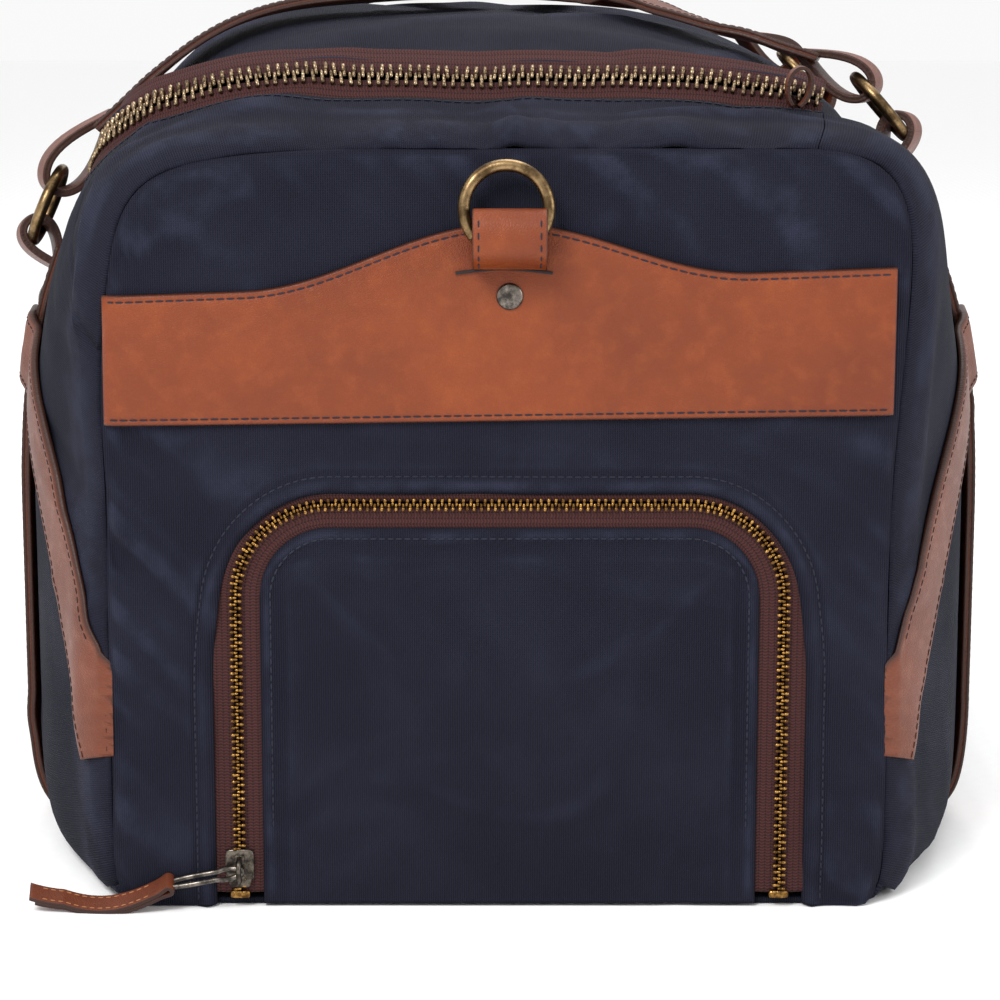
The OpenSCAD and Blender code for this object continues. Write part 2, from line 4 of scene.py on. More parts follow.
import bpy
import numpy as np
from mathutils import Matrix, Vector


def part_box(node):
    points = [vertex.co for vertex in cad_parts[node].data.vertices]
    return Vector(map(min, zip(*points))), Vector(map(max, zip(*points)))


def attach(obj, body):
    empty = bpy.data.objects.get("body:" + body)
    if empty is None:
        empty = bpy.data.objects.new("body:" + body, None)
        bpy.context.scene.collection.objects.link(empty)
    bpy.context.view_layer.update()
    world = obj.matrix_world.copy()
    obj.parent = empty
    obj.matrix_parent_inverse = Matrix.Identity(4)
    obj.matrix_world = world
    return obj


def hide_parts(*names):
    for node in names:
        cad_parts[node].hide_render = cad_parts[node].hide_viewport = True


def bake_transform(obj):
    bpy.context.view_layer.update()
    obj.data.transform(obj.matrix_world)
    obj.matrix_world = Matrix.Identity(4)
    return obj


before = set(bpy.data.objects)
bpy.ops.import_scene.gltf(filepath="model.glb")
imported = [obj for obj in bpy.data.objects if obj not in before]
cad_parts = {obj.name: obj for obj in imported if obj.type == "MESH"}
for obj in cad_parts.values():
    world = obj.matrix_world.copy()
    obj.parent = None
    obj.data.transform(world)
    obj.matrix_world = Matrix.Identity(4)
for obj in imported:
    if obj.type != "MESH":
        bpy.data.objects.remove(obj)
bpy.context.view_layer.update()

# ---------------------------------------------------------------- sizes, in millimetres

MM = 0.001


def node_box(node):
    """Lowest and highest corner of a node, in millimetres."""
    low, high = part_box(node)
    return np.array(low) / MM, np.array(high) / MM


panel_low, panel_high = node_box("near_end_panel")
half_l = -panel_low[1]
end_t = panel_high[1] - panel_low[1]
end_w = panel_high[0] - panel_low[0]
end_h = panel_high[2]
shell_y = half_l - end_t
mid_w = 376.0
mid_h = node_box("lid_panel")[1][2]
wall = 2.2
core_z = 120.0
base_drop = core_z + 4
full_depth = 120.0
low_power = 9.0
roll = -6.0
ring_angle = 51.0
rivet_angle = 57.0
end_ring_z = 242.5
zip_angle = 41.5
mm_per_deg = 3.32
zip_s = (roll - zip_angle) * mm_per_deg
hinge_s = (roll + zip_angle) * mm_per_deg
side_s = zip_s - 12 * mm_per_deg
zip_y = half_l - 54
zip_corner = 60.0
zip_lip = 8.0
base_angle = 129.0
shoe_x, shoe_w, shoe_h, shoe_r = 4.0, 196.0, 149.0, 34.0
shoe_foot = 7.0
door_fold = 25.0
strap_w = 25.0
strap_t = 3.5
belly_y = 150.0
rng = np.random.default_rng(7)

# ---------------------------------------------------------------- the bag's surface


def mix(a, b, t):
    """a at t = 0, b at t = 1, straight between."""
    return a + (b - a) * t


def ease(t):
    """Smooth step from 0 to 1: 3t^2 - 2t^3."""
    t = np.clip(t, 0, 1)
    return t * t * (3 - 2 * t)


def bulge(y):
    """Share of the full bulge at y: 1 - (y / half length)^4."""
    return 1 - np.minimum(1, np.abs(y) / half_l) ** 4


def sag(y):
    """How far the soft top settles between the middle and each end."""
    return 9 * ease((np.abs(y) - 157) / 52) - 6.5 * ease((np.abs(y) - 232) / 36)


def raw(y, a):
    """Superellipse in polar form about the core line: 1/r^n = |sin a / w|^n + |cos a / h|^n."""
    a = np.radians(a)
    low = np.cos(a) < 0
    w = mix(end_w, mid_w, bulge(y)) / 2
    h = np.where(low, base_drop, mix(end_h, mid_h, bulge(y)) - sag(y) - core_z)
    low_n = low_power + 8 * ease((np.abs(y) - 130) / 120)
    n = np.where(low, low_n, 1 / mix(0.11, 0.38, ease((half_l - np.abs(y)) / full_depth)))
    r = ((np.abs(np.sin(a)) / w) ** n + (np.abs(np.cos(a)) / h) ** n) ** (-1 / n)
    turn = (np.degrees(a) + 180) % 360 - 180
    front = ease((-y - 190) / 55)
    r = r - front * (7 * np.exp(-((turn + 46) / 15) ** 2) - 5 * np.exp(-((turn - 47) / 11) ** 2)
                     + 3 * ease((np.abs(turn) - 55) / 25) * ease((140 - np.abs(turn)) / 15))
    return r * np.sin(a), r * np.cos(a)


def out_dir(y, a):
    """Unit outward direction across the bag, from a central difference of raw()."""
    x1, z1 = raw(y, a + 1)
    x0, z0 = raw(y, a - 1)
    tx, tz = x1 - x0, z1 - z0
    n = np.hypot(tx, tz)
    return -tz / n, tx / n


def skin(y, a, off=0.0):
    """Point of the surface at y and angle a, moved outwards by off and kept above the floor."""
    y, a = np.broadcast_arrays(np.asarray(y, float), np.asarray(a, float))
    x, z = raw(y, a)
    nx, nz = out_dir(y, a)
    floor = np.maximum(0, -np.asarray(off, float))
    return np.stack([x + nx * off, y + 0 * x, np.maximum(core_z + z + nz * off, floor)], -1)


def cloth(s, y, off=0.0):
    """The same point, with the angle given as a distance s round the bag."""
    return skin(y, np.asarray(s) / mm_per_deg, off)


waves = [(rng.uniform(0, 2 * np.pi), 2 * np.pi / rng.uniform(45, 190), rng.uniform(0, 2 * np.pi)) for _ in range(18)]


def swell(u, v):
    """Soft uneven filling: a sum of low waves in random directions."""
    total = 0
    for turn, k, phase in waves:
        total = total + np.sin((u * math.cos(turn) + v * math.sin(turn)) * k + phase) / (k * 900)
    return total


def crease(u, v, u0, v0, turn, length, width, height, bend=0.0):
    """One ridge or groove: a Gaussian across, a wider Gaussian along, bowed by bend."""
    t = math.radians(turn)
    along = (u - u0) * math.cos(t) + (v - v0) * math.sin(t)
    across = -(u - u0) * math.sin(t) + (v - v0) * math.cos(t) - bend * along ** 2 / length
    return height * np.exp(-(across / width) ** 2 - (along / length) ** 2)


def random_creases(count, u_range, v_range, height):
    """Seeded list of small creases within a patch."""
    return [(rng.uniform(*u_range), rng.uniform(*v_range), rng.uniform(0, 180), rng.uniform(14, 42),
             rng.uniform(3, 8), rng.uniform(-1, 1) * height, rng.uniform(-0.5, 0.5)) for _ in range(count)]


far_s = 430.0
skin_creases = random_creases(170, (-far_s, far_s), (-half_l, half_l), 1.3) + [
    (-118, -238, 12, 60, 7, 2.4, 0.25), (-150, -246, 35, 34, 6, 2.6, 0.3), (-62, -238, -6, 50, 6, 1.2, 0.1),
    (62, -240, 4, 46, 4, 1.8, 0.1), (96, -236, -8, 34, 4, 1.7, -0.2), (30, -244, 6, 40, 5, -1.2, 0.1),
    (-70, -60, 60, 90, 14, 3.0, 0.2), (10, -120, 20, 100, 16, 2.4, -0.3), (60, 20, -35, 90, 15, 2.6, 0.2),
    (-20, 90, 50, 100, 14, 2.6, 0.3), (90, -150, 70, 70, 10, 2.0, 0.2), (-110, 120, 10, 80, 12, 2.2, 0.1)]
panel_creases = random_creases(60, (-140, 140), (0, 270), 0.75) + [
    (-112, 250, 28, 42, 7, 1.6, 0.2), (112, 226, -62, 40, 6, 1.2, 0.2), (60, 252, 8, 60, 7, 0.8, 0.1)]


def seam_gather(s, d, depth=1.0):
    """Gathers along a seam: short waves along it, uneven in strength, that fade with the distance d from it."""
    ripple = np.sin(s / 5.3 + 1.3 * np.sin(s / 23.0)) + 0.5 * np.sin(s / 2.9 + 2.0 * np.sin(s / 37.0))
    broad = 1.5 * np.sin(s / 11.0 + 2.0 * np.sin(s / 51.0)) * np.exp(-np.abs(d) / 26.0)
    return depth * (0.7 + 0.5 * np.sin(s / 61.0 + 1)) * (ripple * np.exp(-np.abs(d) / 12.0) + broad)


def skin_relief(s, y):
    """How far the canvas stands off its plain surface: swelling, creases, gathers at the end seams."""
    total = 1.5 * swell(s, y)
    for c in skin_creases:
        total = total + crease(s, y, *c)
    total = total + 13 * np.exp(-((s + 102) / 44) ** 2 - ((y + 50) / 125) ** 2) * ease((s + 156) / 30)
    total = total + 4 * np.exp(-((s + 152) / 30) ** 2 - ((y + 185) / 34) ** 2)
    near = half_l - np.abs(y)
    total = total * ease(near / 16)
    total = total + seam_gather(s, near - 4, 1.3 - 0.95 * ease((np.abs(s) - 180) / 70)) * ease(near / 6)
    total = total + (1.6 + 1.2 * np.sin(s / 31.0 + 0.6)) * np.exp(-((near - 14) / 9) ** 2)
    return total - 1.0 * np.exp(-((near - end_t) / 3.5) ** 2)


def panel_relief(x, z):
    """How far an end panel stands proud of flat, in millimetres."""
    total = 0.8 * swell(x + 400, z)
    for c in panel_creases:
        total = total + crease(x, z, *c)
    return total


# ---------------------------------------------------------------- mesh making


def new_mesh(name, verts, faces, material, smooth=True, uv=None, marks=None):
    """Mesh object at the origin from millimetre points; uv is per vertex, marks are float attributes."""
    mesh = bpy.data.meshes.new(name)
    faces = np.asarray(faces)
    verts = np.asarray(verts, float).reshape(-1, 3) * MM
    mesh.vertices.add(len(verts))
    mesh.vertices.foreach_set("co", verts.ravel())
    n = faces.shape[1]
    mesh.loops.add(faces.size)
    mesh.loops.foreach_set("vertex_index", faces.ravel().astype(np.int32))
    mesh.polygons.add(len(faces))
    mesh.polygons.foreach_set("loop_start", np.arange(0, faces.size, n, dtype=np.int32))
    if uv is not None:
        layer = mesh.uv_layers.new(name="cloth")
        layer.data.foreach_set("uv", (np.asarray(uv, float) * MM)[faces.ravel()].ravel())
    for key, values in (marks or {}).items():
        mesh.attributes.new(key, "FLOAT", "POINT").data.foreach_set("value", np.asarray(values, float).ravel())
    mesh.update(calc_edges=True)
    mesh.validate()
    mesh.polygons.foreach_set("use_smooth", np.full(len(mesh.polygons), smooth))
    mesh.materials.append(material)
    obj = bpy.data.objects.new(name, mesh)
    bpy.context.scene.collection.objects.link(obj)
    return obj


def grid_faces(rows, cols, start=0, flip=False):
    """Quads of a rows by cols grid of points."""
    i = np.arange((rows - 1) * cols).reshape(rows - 1, cols)[:, :-1] + start
    q = np.stack([i, i + 1, i + cols + 1, i + cols], -1).reshape(-1, 4)
    return q[:, ::-1] if flip else q


def slab(name, front, back, material, uv=None, flip=False, crease_wear_and_highlight=None):
    """Closed sheet between two equal grids of points; the front's outward side is fixed by flip."""
    r, c = front.shape[:2]
    n = r * c
    verts = np.concatenate([front.reshape(-1, 3), back.reshape(-1, 3)])
    idx = np.arange(n).reshape(r, c)
    rim = np.concatenate([idx[0, :], idx[1:, -1], idx[-1, -2::-1], idx[-2:0:-1, 0]])
    nxt = np.roll(rim, -1)
    side = np.stack([nxt, rim, rim + n, nxt + n], -1)
    faces = np.concatenate([grid_faces(r, c), grid_faces(r, c, n, True), side])
    if flip:
        faces = faces[:, ::-1]
    if uv is None:
        uv = np.stack(np.meshgrid(np.arange(c), np.arange(r)), -1) * 2.0
    uv = np.concatenate([uv.reshape(-1, 2)] * 2)
    # The wear mark lightens raised creases: partly rubbed wear, partly painted highlight.
    marks = {"wear_and_highlight": np.zeros(2 * n)}
    if crease_wear_and_highlight is not None:
        marks["wear_and_highlight"][:n] = crease_wear_and_highlight.ravel()
    return new_mesh(name, verts, faces, material, uv=uv, marks=marks)


def ridge_wear_and_highlight(height):
    """Where a grid of heights is raised above its neighbours, 0 to 1: the places that rub, and where the canvas gets
    a painted highlight.
    """
    h = np.pad(height, 3, mode="edge")
    n, m = height.shape
    around = sum(h[a:a + n, b:b + m] for a in (0, 3, 6) for b in (0, 3, 6)) / 9
    return np.clip((height - around) * 2.2, 0, 1)


def tube(name, path, radius, material, sides=12, closed=False):
    """Round bar swept along a path; each ring stands square to the path."""
    path = np.asarray(path, float)
    ring_x, ring_y = frames(path, closed)
    t = np.arange(sides) * 2 * np.pi / sides
    r = np.broadcast_to(radius, len(path))[:, None, None]
    cos, sin = np.cos(t)[None, :, None], np.sin(t)[None, :, None]
    pts = path[:, None] + r * (cos * ring_x[:, None] + sin * ring_y[:, None])
    return ring_mesh(name, pts, material, closed)


def frames(path, closed=False):
    """Two unit directions square to the path at each point, carried along without twist."""
    d = np.roll(path, -1, 0) - np.roll(path, 1, 0) if closed else np.gradient(path, axis=0)
    d = d / np.linalg.norm(d, axis=1, keepdims=True)
    up = np.array([0.0, 0.0, 1.0]) if abs(d[0, 2]) < 0.9 else np.array([0.0, 1.0, 0.0])
    xs = []
    for t in d:
        up = up - t * up.dot(t)
        up = up / np.linalg.norm(up)
        xs.append(up)
    xs = np.array(xs)
    return xs, np.cross(d, xs)


def ring_mesh(name, pts, material, closed=False, uv=None, edge=None):
    """Skin over rings of points (rings, points round, 3), with flat ends unless it closes on itself."""
    n, k = pts.shape[:2]
    i = np.arange(n if closed else n - 1)[:, None]
    j = np.arange(k)[None, :]
    a, b = i * k + j, i * k + (j + 1) % k
    c, d = ((i + 1) % n) * k + (j + 1) % k, ((i + 1) % n) * k + j
    faces = np.stack([a, b, c, d], -1).reshape(-1, 4)
    verts = pts.reshape(-1, 3)
    extra = 0 if closed else 2
    uv = None if uv is None else np.concatenate([uv.reshape(-1, 2), uv.reshape(-1, 2)[:extra]])
    marks = None if edge is None else {"edge": np.concatenate([edge.ravel(), np.ones(extra)])}
    if not closed:
        mid = np.stack([pts[0].mean(0), pts[-1].mean(0)])
        verts = np.concatenate([verts, mid])
        p = n * k
        j = np.arange(0, k, 2)
        cap0 = np.stack([np.full(len(j), p), (j + 2) % k, (j + 1) % k, j], -1)
        q = (n - 1) * k
        cap1 = np.stack([np.full(len(j), p + 1), q + j, q + (j + 1) % k, q + (j + 2) % k], -1)
        faces = np.concatenate([faces, cap0, cap1])
    return new_mesh(name, verts, faces, material, uv=uv, marks=marks)


def copies(name, shape, faces, at, x_dir, y_dir, z_dir, material, scale=None):
    """One mesh with the small shape repeated at each place in its own frame."""
    scale = np.ones((len(at), 3)) if scale is None else scale
    local = shape[None] * scale[:, None]
    pts = (at[:, None] + local[..., 0:1] * x_dir[:, None] + local[..., 1:2] * y_dir[:, None]
           + local[..., 2:3] * z_dir[:, None])
    all_faces = (faces[None] + (np.arange(len(at)) * len(shape))[:, None, None]).reshape(-1, faces.shape[1])
    return new_mesh(name, pts, all_faces, material)


def unit(v):
    """Directions of length 1."""
    return v / np.maximum(np.linalg.norm(v, axis=-1, keepdims=True), 1e-9)


def evenly(path, step, start=0.0):
    """Places every step along a path, with the direction there and the share of the length."""
    seg = np.linalg.norm(np.diff(path, axis=0), axis=1)
    length = np.concatenate([[0], np.cumsum(seg)])
    count = max(2, int((length[-1] - 2 * start) / step))
    at = np.linspace(start, length[-1] - start, count)
    point = np.stack([np.interp(at, length, path[:, k]) for k in range(3)], -1)
    ahead = np.stack([np.interp(at + 0.5, length, path[:, k]) for k in range(3)], -1)
    behind = np.stack([np.interp(at - 0.5, length, path[:, k]) for k in range(3)], -1)
    return point, unit(ahead - behind), at / length[-1], length[-1]


def capsule(length, width, height):
    """A stitch: six-sided bar with tapered ends, lying along X, half sunk."""
    t = np.arange(6) * np.pi / 3
    rings = [(-0.5, 0.25), (-0.36, 0.85), (0, 1.0), (0.36, 0.85), (0.5, 0.25)]
    pts = np.array([[x * length, np.cos(a) * width / 2 * r, np.sin(a) * height / 2 * r] for x, r in rings for a in t])
    i = np.arange(4)[:, None] * 6
    j = np.arange(6)[None, :]
    faces = np.stack([i + j, i + (j + 1) % 6, i + 6 + (j + 1) % 6, i + 6 + j], -1).reshape(-1, 4)
    ends = np.array([[3, 2, 1, 0], [5, 4, 3, 0], [24, 25, 26, 27], [24, 27, 28, 29]])
    return pts, np.concatenate([faces, ends])


def stitches(name, path, normal, body, material, pitch=3.4, length=2.5, width=0.62, height=0.5, slant=0.0):
    """Row of thread stitches along a path; normal points away from the surface."""
    at, along, share, _ = evenly(np.asarray(path, float), pitch, pitch / 2)
    src = np.linspace(0, 1, len(path))
    up = unit(np.stack([np.interp(share, src, np.asarray(normal, float)[:, k]) for k in range(3)], -1))
    across = unit(np.cross(up, along))
    along = unit(along + slant * across)
    across = unit(np.cross(up, along))
    shape, faces = capsule(length, width, height)
    piece = copies(name, shape, faces, at, along, across, unit(np.cross(along, across)), material)
    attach(piece, body)
    return piece

# ---------------------------------------------------------------- materials


class Graph:
    """Short calls that add nodes to one node tree and link them."""

    def __init__(self, tree):
        self.tree = tree

    def node(self, kind, **settings):
        made = self.tree.nodes.new(kind)
        for key, value in settings.items():
            setattr(made, key, value)
        return made

    def put(self, socket, value):
        if isinstance(value, bpy.types.NodeSocket):
            self.tree.links.new(value, socket)
        elif value is not None:
            socket.default_value = value

    def math(self, operation, a, b=None, c=None, clamp=False):
        made = self.node("ShaderNodeMath", operation=operation, use_clamp=clamp)
        for socket, value in zip(made.inputs, (a, b, c)):
            self.put(socket, value)
        return made.outputs[0]

    def blend(self, share, a, b):
        made = self.node("ShaderNodeMix", data_type="RGBA")
        self.put(made.inputs[0], share)
        self.put(made.inputs[6], a)
        self.put(made.inputs[7], b)
        return made.outputs[2]

    def ramp(self, value, low, high, out_low=0.0, out_high=1.0):
        made = self.node("ShaderNodeMapRange", interpolation_type="SMOOTHSTEP")
        for socket, v in zip(made.inputs, (value, low, high, out_low, out_high)):
            self.put(socket, v)
        return made.outputs[0]

    def noise(self, vector, scale, detail=3.0, roughness=0.55):
        made = self.node("ShaderNodeTexNoise")
        self.put(made.inputs["Vector"], vector)
        self.put(made.inputs["Scale"], scale)
        self.put(made.inputs["Detail"], detail)
        self.put(made.inputs["Roughness"], roughness)
        return made.outputs["Fac"]

    def cells(self, vector, scale, feature="DISTANCE_TO_EDGE"):
        made = self.node("ShaderNodeTexVoronoi", feature=feature)
        self.put(made.inputs["Vector"], vector)
        self.put(made.inputs["Scale"], scale)
        return made.outputs["Distance"]


def group(name, inputs, outputs, build):
    """Shader node group with named inputs and outputs; build(graph, inputs) returns its outputs."""
    tree = bpy.data.node_groups.new(name, "ShaderNodeTree")
    for label, kind, value in inputs:
        socket = tree.interface.new_socket(name=label, in_out="INPUT", socket_type=kind)
        if value is not None:
            socket.default_value = value
    for label, kind in outputs:
        tree.interface.new_socket(name=label, in_out="OUTPUT", socket_type=kind)
    graph = Graph(tree)
    come = graph.node("NodeGroupInput")
    go = graph.node("NodeGroupOutput")
    made = build(graph, {label: come.outputs[label] for label, _, _ in inputs})
    for label, _ in outputs:
        graph.put(go.inputs[label], made[label])
    return tree


VEC, NUM, COL = "NodeSocketVector", "NodeSocketFloat", "NodeSocketColor"


def build_weave(g, i):
    """Rib of crossing threads: sin(u) and sin(v) at one thread count, flecked by noise, and lightened by noise where
    the wear mark is high, which is partly rubbed wear and partly a painted highlight on the raised creases.
    """
    split = g.node("ShaderNodeSeparateXYZ")
    g.put(split.inputs[0], i["Vector"])
    wander = g.noise(i["Vector"], 90.0, 2.0)
    u = g.math("MULTIPLY", split.outputs[0], i["Threads"])
    v = g.math("MULTIPLY", split.outputs[1], i["Threads"])
    warp = g.math("SINE", g.math("MULTIPLY_ADD", u, 6.2832, g.math("MULTIPLY", wander, 2.2)))
    weft = g.math("SINE", g.math("MULTIPLY_ADD", v, 6.2832, g.math("MULTIPLY", wander, 3.0)))
    cross = g.math("MULTIPLY_ADD", g.math("MULTIPLY", warp, weft), 0.2, 0.46)
    weave = g.math("MULTIPLY_ADD", warp, 0.3, cross, clamp=True)
    fleck = g.ramp(g.noise(i["Vector"], 1500.0, 2.0), 0.52, 0.8)
    patch = g.ramp(g.noise(i["Vector"], 16.0, 7.0, 0.62), 0.35, 0.72)
    # Lighter on raised creases: partly rubbed wear, partly a painted highlight standing in for light on the folds.
    rub_and_highlight = g.math("MULTIPLY", i["Wear_and_highlight"], g.ramp(g.noise(i["Vector"], 60.0, 5.0), 0.3, 0.7), clamp=True)
    light = g.math("MULTIPLY_ADD", patch, 0.12, g.math("MULTIPLY_ADD", fleck, 0.25, g.math("MULTIPLY", rub_and_highlight, 0.55)))
    light = g.math("MULTIPLY_ADD", weave, 0.6, light, clamp=True)
    return {"Color": g.blend(light, i["Deep"], i["Pale"]),
            "Roughness": g.math("MULTIPLY_ADD", patch, -0.12, 0.9),
            "Height": g.math("MULTIPLY_ADD", fleck, 0.25, weave)}


def build_leather(g, i):
    """Fine cell grain with pores, broad uneven dye, and darker burnished edges from the edge mark."""
    grain = g.ramp(g.cells(i["Vector"], i["Grain"]), 0.0, 0.22)
    fine = g.noise(i["Vector"], 2600.0, 3.0)
    dye = g.ramp(g.noise(i["Vector"], 9.0, 7.0, 0.66), 0.28, 0.75)
    streak = g.ramp(g.noise(i["Vector"], 130.0, 4.0), 0.45, 0.75)
    colour = g.blend(dye, i["Deep"], i["Pale"])
    colour = g.blend(g.math("MULTIPLY", streak, 0.22), colour, i["Rub"])
    colour = g.blend(g.math("MULTIPLY", g.math("SUBTRACT", 1.0, grain), 0.22), colour, i["Deep"])
    colour = g.blend(g.math("MULTIPLY", i["Edge"], 0.9, clamp=True), colour, i["Cut"])
    return {"Color": colour,
            "Roughness": g.math("MULTIPLY_ADD", fine, 0.16, g.math("MULTIPLY_ADD", streak, -0.08, 0.42)),
            "Height": g.math("MULTIPLY_ADD", fine, 0.35, g.math("MULTIPLY", grain, 0.6))}


def build_patina(g, i):
    """Metal with a brown skin in the hollows, worn bright where noise is high, and fine scratches."""
    cloud = g.ramp(g.noise(i["Vector"], i["Spots"], 6.0, 0.65), 0.36, 0.68)
    speck = g.ramp(g.noise(i["Vector"], 1700.0, 3.0), 0.55, 0.72)
    share = g.math("MULTIPLY_ADD", speck, -0.35, cloud, clamp=True)
    return {"Color": g.blend(share, i["Dark"], i["Bright"]),
            "Roughness": g.math("MULTIPLY_ADD", share, -0.16, 0.44),
            "Height": g.math("MULTIPLY", speck, -0.5)}


def build_tape(g, i):
    """Zip tape: slanted ribs that change direction at each cord, sin(u + |v's place in its cord|)."""
    split = g.node("ShaderNodeSeparateXYZ")
    g.put(split.inputs[0], i["Vector"])
    cord = g.math("MULTIPLY", split.outputs[1], i["Cords"])
    place = g.math("ABSOLUTE", g.math("SUBTRACT", g.math("FRACT", cord), 0.5))
    rib = g.math("SINE", g.math("MULTIPLY_ADD", split.outputs[0], i["Ribs"], g.math("MULTIPLY", place, 5.0)))
    rib = g.math("MULTIPLY_ADD", rib, 0.5, 0.5)
    valley = g.ramp(place, 0.36, 0.5, 0.0, 0.5)
    fuzz = g.noise(i["Vector"], 900.0, 3.0)
    light = g.math("MULTIPLY_ADD", rib, 0.55, g.math("MULTIPLY_ADD", fuzz, 0.5, g.math("MULTIPLY", valley, -0.8)),
                   clamp=True)
    return {"Color": g.blend(light, i["Deep"], i["Pale"]),
            "Roughness": g.math("MULTIPLY_ADD", fuzz, 0.2, 0.72),
            "Height": g.math("SUBTRACT", rib, valley)}


weave_group = group("woven threads",
    [("Vector", VEC, None), ("Threads", NUM, 1100.0), ("Deep", COL, None), ("Pale", COL, None), ("Wear_and_highlight", NUM, 0.0)],
    [("Color", COL), ("Roughness", NUM), ("Height", NUM)], build_weave)
tape_group = group("ribbed tape",
    [("Vector", VEC, None), ("Cords", NUM, 480.0), ("Ribs", NUM, 5600.0), ("Deep", COL, None), ("Pale", COL, None)],
    [("Color", COL), ("Roughness", NUM), ("Height", NUM)], build_tape)
leather_group = group("leather grain",
    [("Vector", VEC, None), ("Grain", NUM, 900.0), ("Deep", COL, None), ("Pale", COL, None), ("Rub", COL, None),
     ("Cut", COL, None), ("Edge", NUM, 0.0)],
    [("Color", COL), ("Roughness", NUM), ("Height", NUM)], build_leather)
patina_group = group("metal patina",
    [("Vector", VEC, None), ("Spots", NUM, 240.0), ("Dark", COL, None), ("Bright", COL, None)],
    [("Color", COL), ("Roughness", NUM), ("Height", NUM)], build_patina)


def colour(r, g, b):
    """Linear colour from the 0 to 255 values that a screen shows."""
    return tuple(((v / 255 + 0.055) / 1.055) ** 2.4 if v > 10 else v / 255 / 12.92 for v in (r, g, b)) + (1.0,)


def material(name, effect, values, bump=0.1, distance=0.0003, from_uv=True, marks=(), **principled):
    """Material with one effect group feeding the Principled shader's colour, roughness and bump."""
    made = bpy.data.materials.new(name)
    made.use_nodes = True
    g = Graph(made.node_tree)
    shader = made.node_tree.nodes["Principled BSDF"]
    placed = g.node("ShaderNodeGroup")
    placed.node_tree = effect
    where = g.node("ShaderNodeTexCoord")
    g.put(placed.inputs["Vector"], where.outputs["UV" if from_uv else "Object"])
    for key, value in values.items():
        g.put(placed.inputs[key], value)
    for socket, attribute in marks:
        read = g.node("ShaderNodeAttribute", attribute_name=attribute)
        g.put(placed.inputs[socket], read.outputs["Fac"])
    dent = g.node("ShaderNodeBump")
    g.put(dent.inputs["Strength"], bump)
    g.put(dent.inputs["Distance"], distance)
    g.put(dent.inputs["Height"], placed.outputs["Height"])
    g.put(shader.inputs["Base Color"], placed.outputs["Color"])
    g.put(shader.inputs["Roughness"], placed.outputs["Roughness"])
    g.put(shader.inputs["Normal"], dent.outputs["Normal"])
    for key, value in principled.items():
        shader.inputs[key.replace("_", " ")].default_value = value
    return made


# The canvas reads the wear mark, which lightens its raised creases: partly rubbed wear, partly painted highlight.
canvas = material("waxed navy canvas", weave_group,
    {"Threads": 1250.0, "Deep": colour(8, 8, 15), "Pale": colour(39, 41, 57)}, bump=0.8, distance=0.0004,
    marks=[("Wear_and_highlight", "wear_and_highlight")], Specular_IOR_Level=0.12)
lining_cloth = material("dark lining cloth", weave_group,
    {"Threads": 1800.0, "Deep": colour(24, 27, 34), "Pale": colour(52, 56, 66)}, bump=0.3, from_uv=False)
tape_cloth = material("maroon zip tape", tape_group,
    {"Deep": colour(26, 11, 11), "Pale": colour(74, 38, 36)}, bump=0.7, distance=0.00025, Specular_IOR_Level=0.25)
leather = material("cognac leather", leather_group,
    {"Deep": colour(98, 38, 8), "Pale": colour(130, 58, 14), "Rub": colour(148, 74, 24), "Cut": colour(52, 24, 14)},
    bump=0.45, distance=0.0003, marks=[("Edge", "edge")], Specular_IOR_Level=0.3,
    Coat_Weight=0.04, Coat_Roughness=0.3)
strap_leather = material("brown strap leather", leather_group,
    {"Deep": colour(78, 34, 16), "Pale": colour(106, 50, 26), "Rub": colour(132, 72, 42), "Cut": colour(42, 22, 16)},
    bump=0.45, distance=0.0003, marks=[("Edge", "edge")], Specular_IOR_Level=0.3,
    Coat_Weight=0.04, Coat_Roughness=0.35)


def metal(name, spots, dark, bright, bump):
    """Worn metal in two tones, with blotches of the given fineness."""
    return material(name, patina_group, {"Spots": spots, "Dark": colour(*dark), "Bright": colour(*bright)},
                    bump=bump, from_uv=False, Metallic=1.0)


def sewing(name, deep, pale):
    """Sewing thread in two tones."""
    return material(name, weave_group, {"Threads": 3000.0, "Deep": colour(*deep), "Pale": colour(*pale)},
                    bump=0.3, from_uv=False)


tooth_brass = metal("antique brass teeth", 420.0, (82, 66, 48), (172, 150, 120), 0.1)
pocket_brass = metal("golden brass teeth", 420.0, (84, 58, 30), (176, 134, 72), 0.1)
ring_brass = metal("darkened brass ring", 160.0, (74, 58, 38), (150, 124, 88), 0.15)
slider_brass = metal("dark brass slider", 260.0, (42, 38, 34), (112, 104, 94), 0.15)
gunmetal = metal("gunmetal", 300.0, (58, 54, 50), (128, 120, 112), 0.2)
navy_thread = sewing("navy thread", (8, 10, 22), (24, 30, 54))
dark_thread = sewing("dark brown thread", (14, 10, 12), (40, 28, 28))
tan_thread = sewing("tan thread", (120, 70, 40), (200, 140, 92))
board_fibre = material("fibre board", weave_group,
    {"Threads": 700.0, "Deep": colour(70, 58, 46), "Pale": colour(104, 88, 70)}, bump=0.3, from_uv=False)
floor_paint = material("plain pale floor", weave_group,
    {"Threads": 90.0, "Deep": colour(250, 250, 250), "Pale": colour(255, 255, 255)}, bump=0.0, from_uv=False)

# ---------------------------------------------------------------- canvas of the sides, top and base


def canvas_grid(name, node, body, s, y, flip=False, extra=0.0):
    """Canvas slab over a grid of (s, y) places, shown in place of its plain panel."""
    relief = skin_relief(s, y) + extra
    front = cloth(s, y, relief)
    back = cloth(s, y, relief - wall)
    # The crease mark is rubbed wear plus a painted highlight on the raised creases.
    piece = slab(name, front, back, canvas, uv=np.stack([s, y], -1), flip=flip, crease_wear_and_highlight=ridge_wear_and_highlight(relief))
    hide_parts(*([node] if isinstance(node, str) else node))
    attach(piece, body)
    return piece


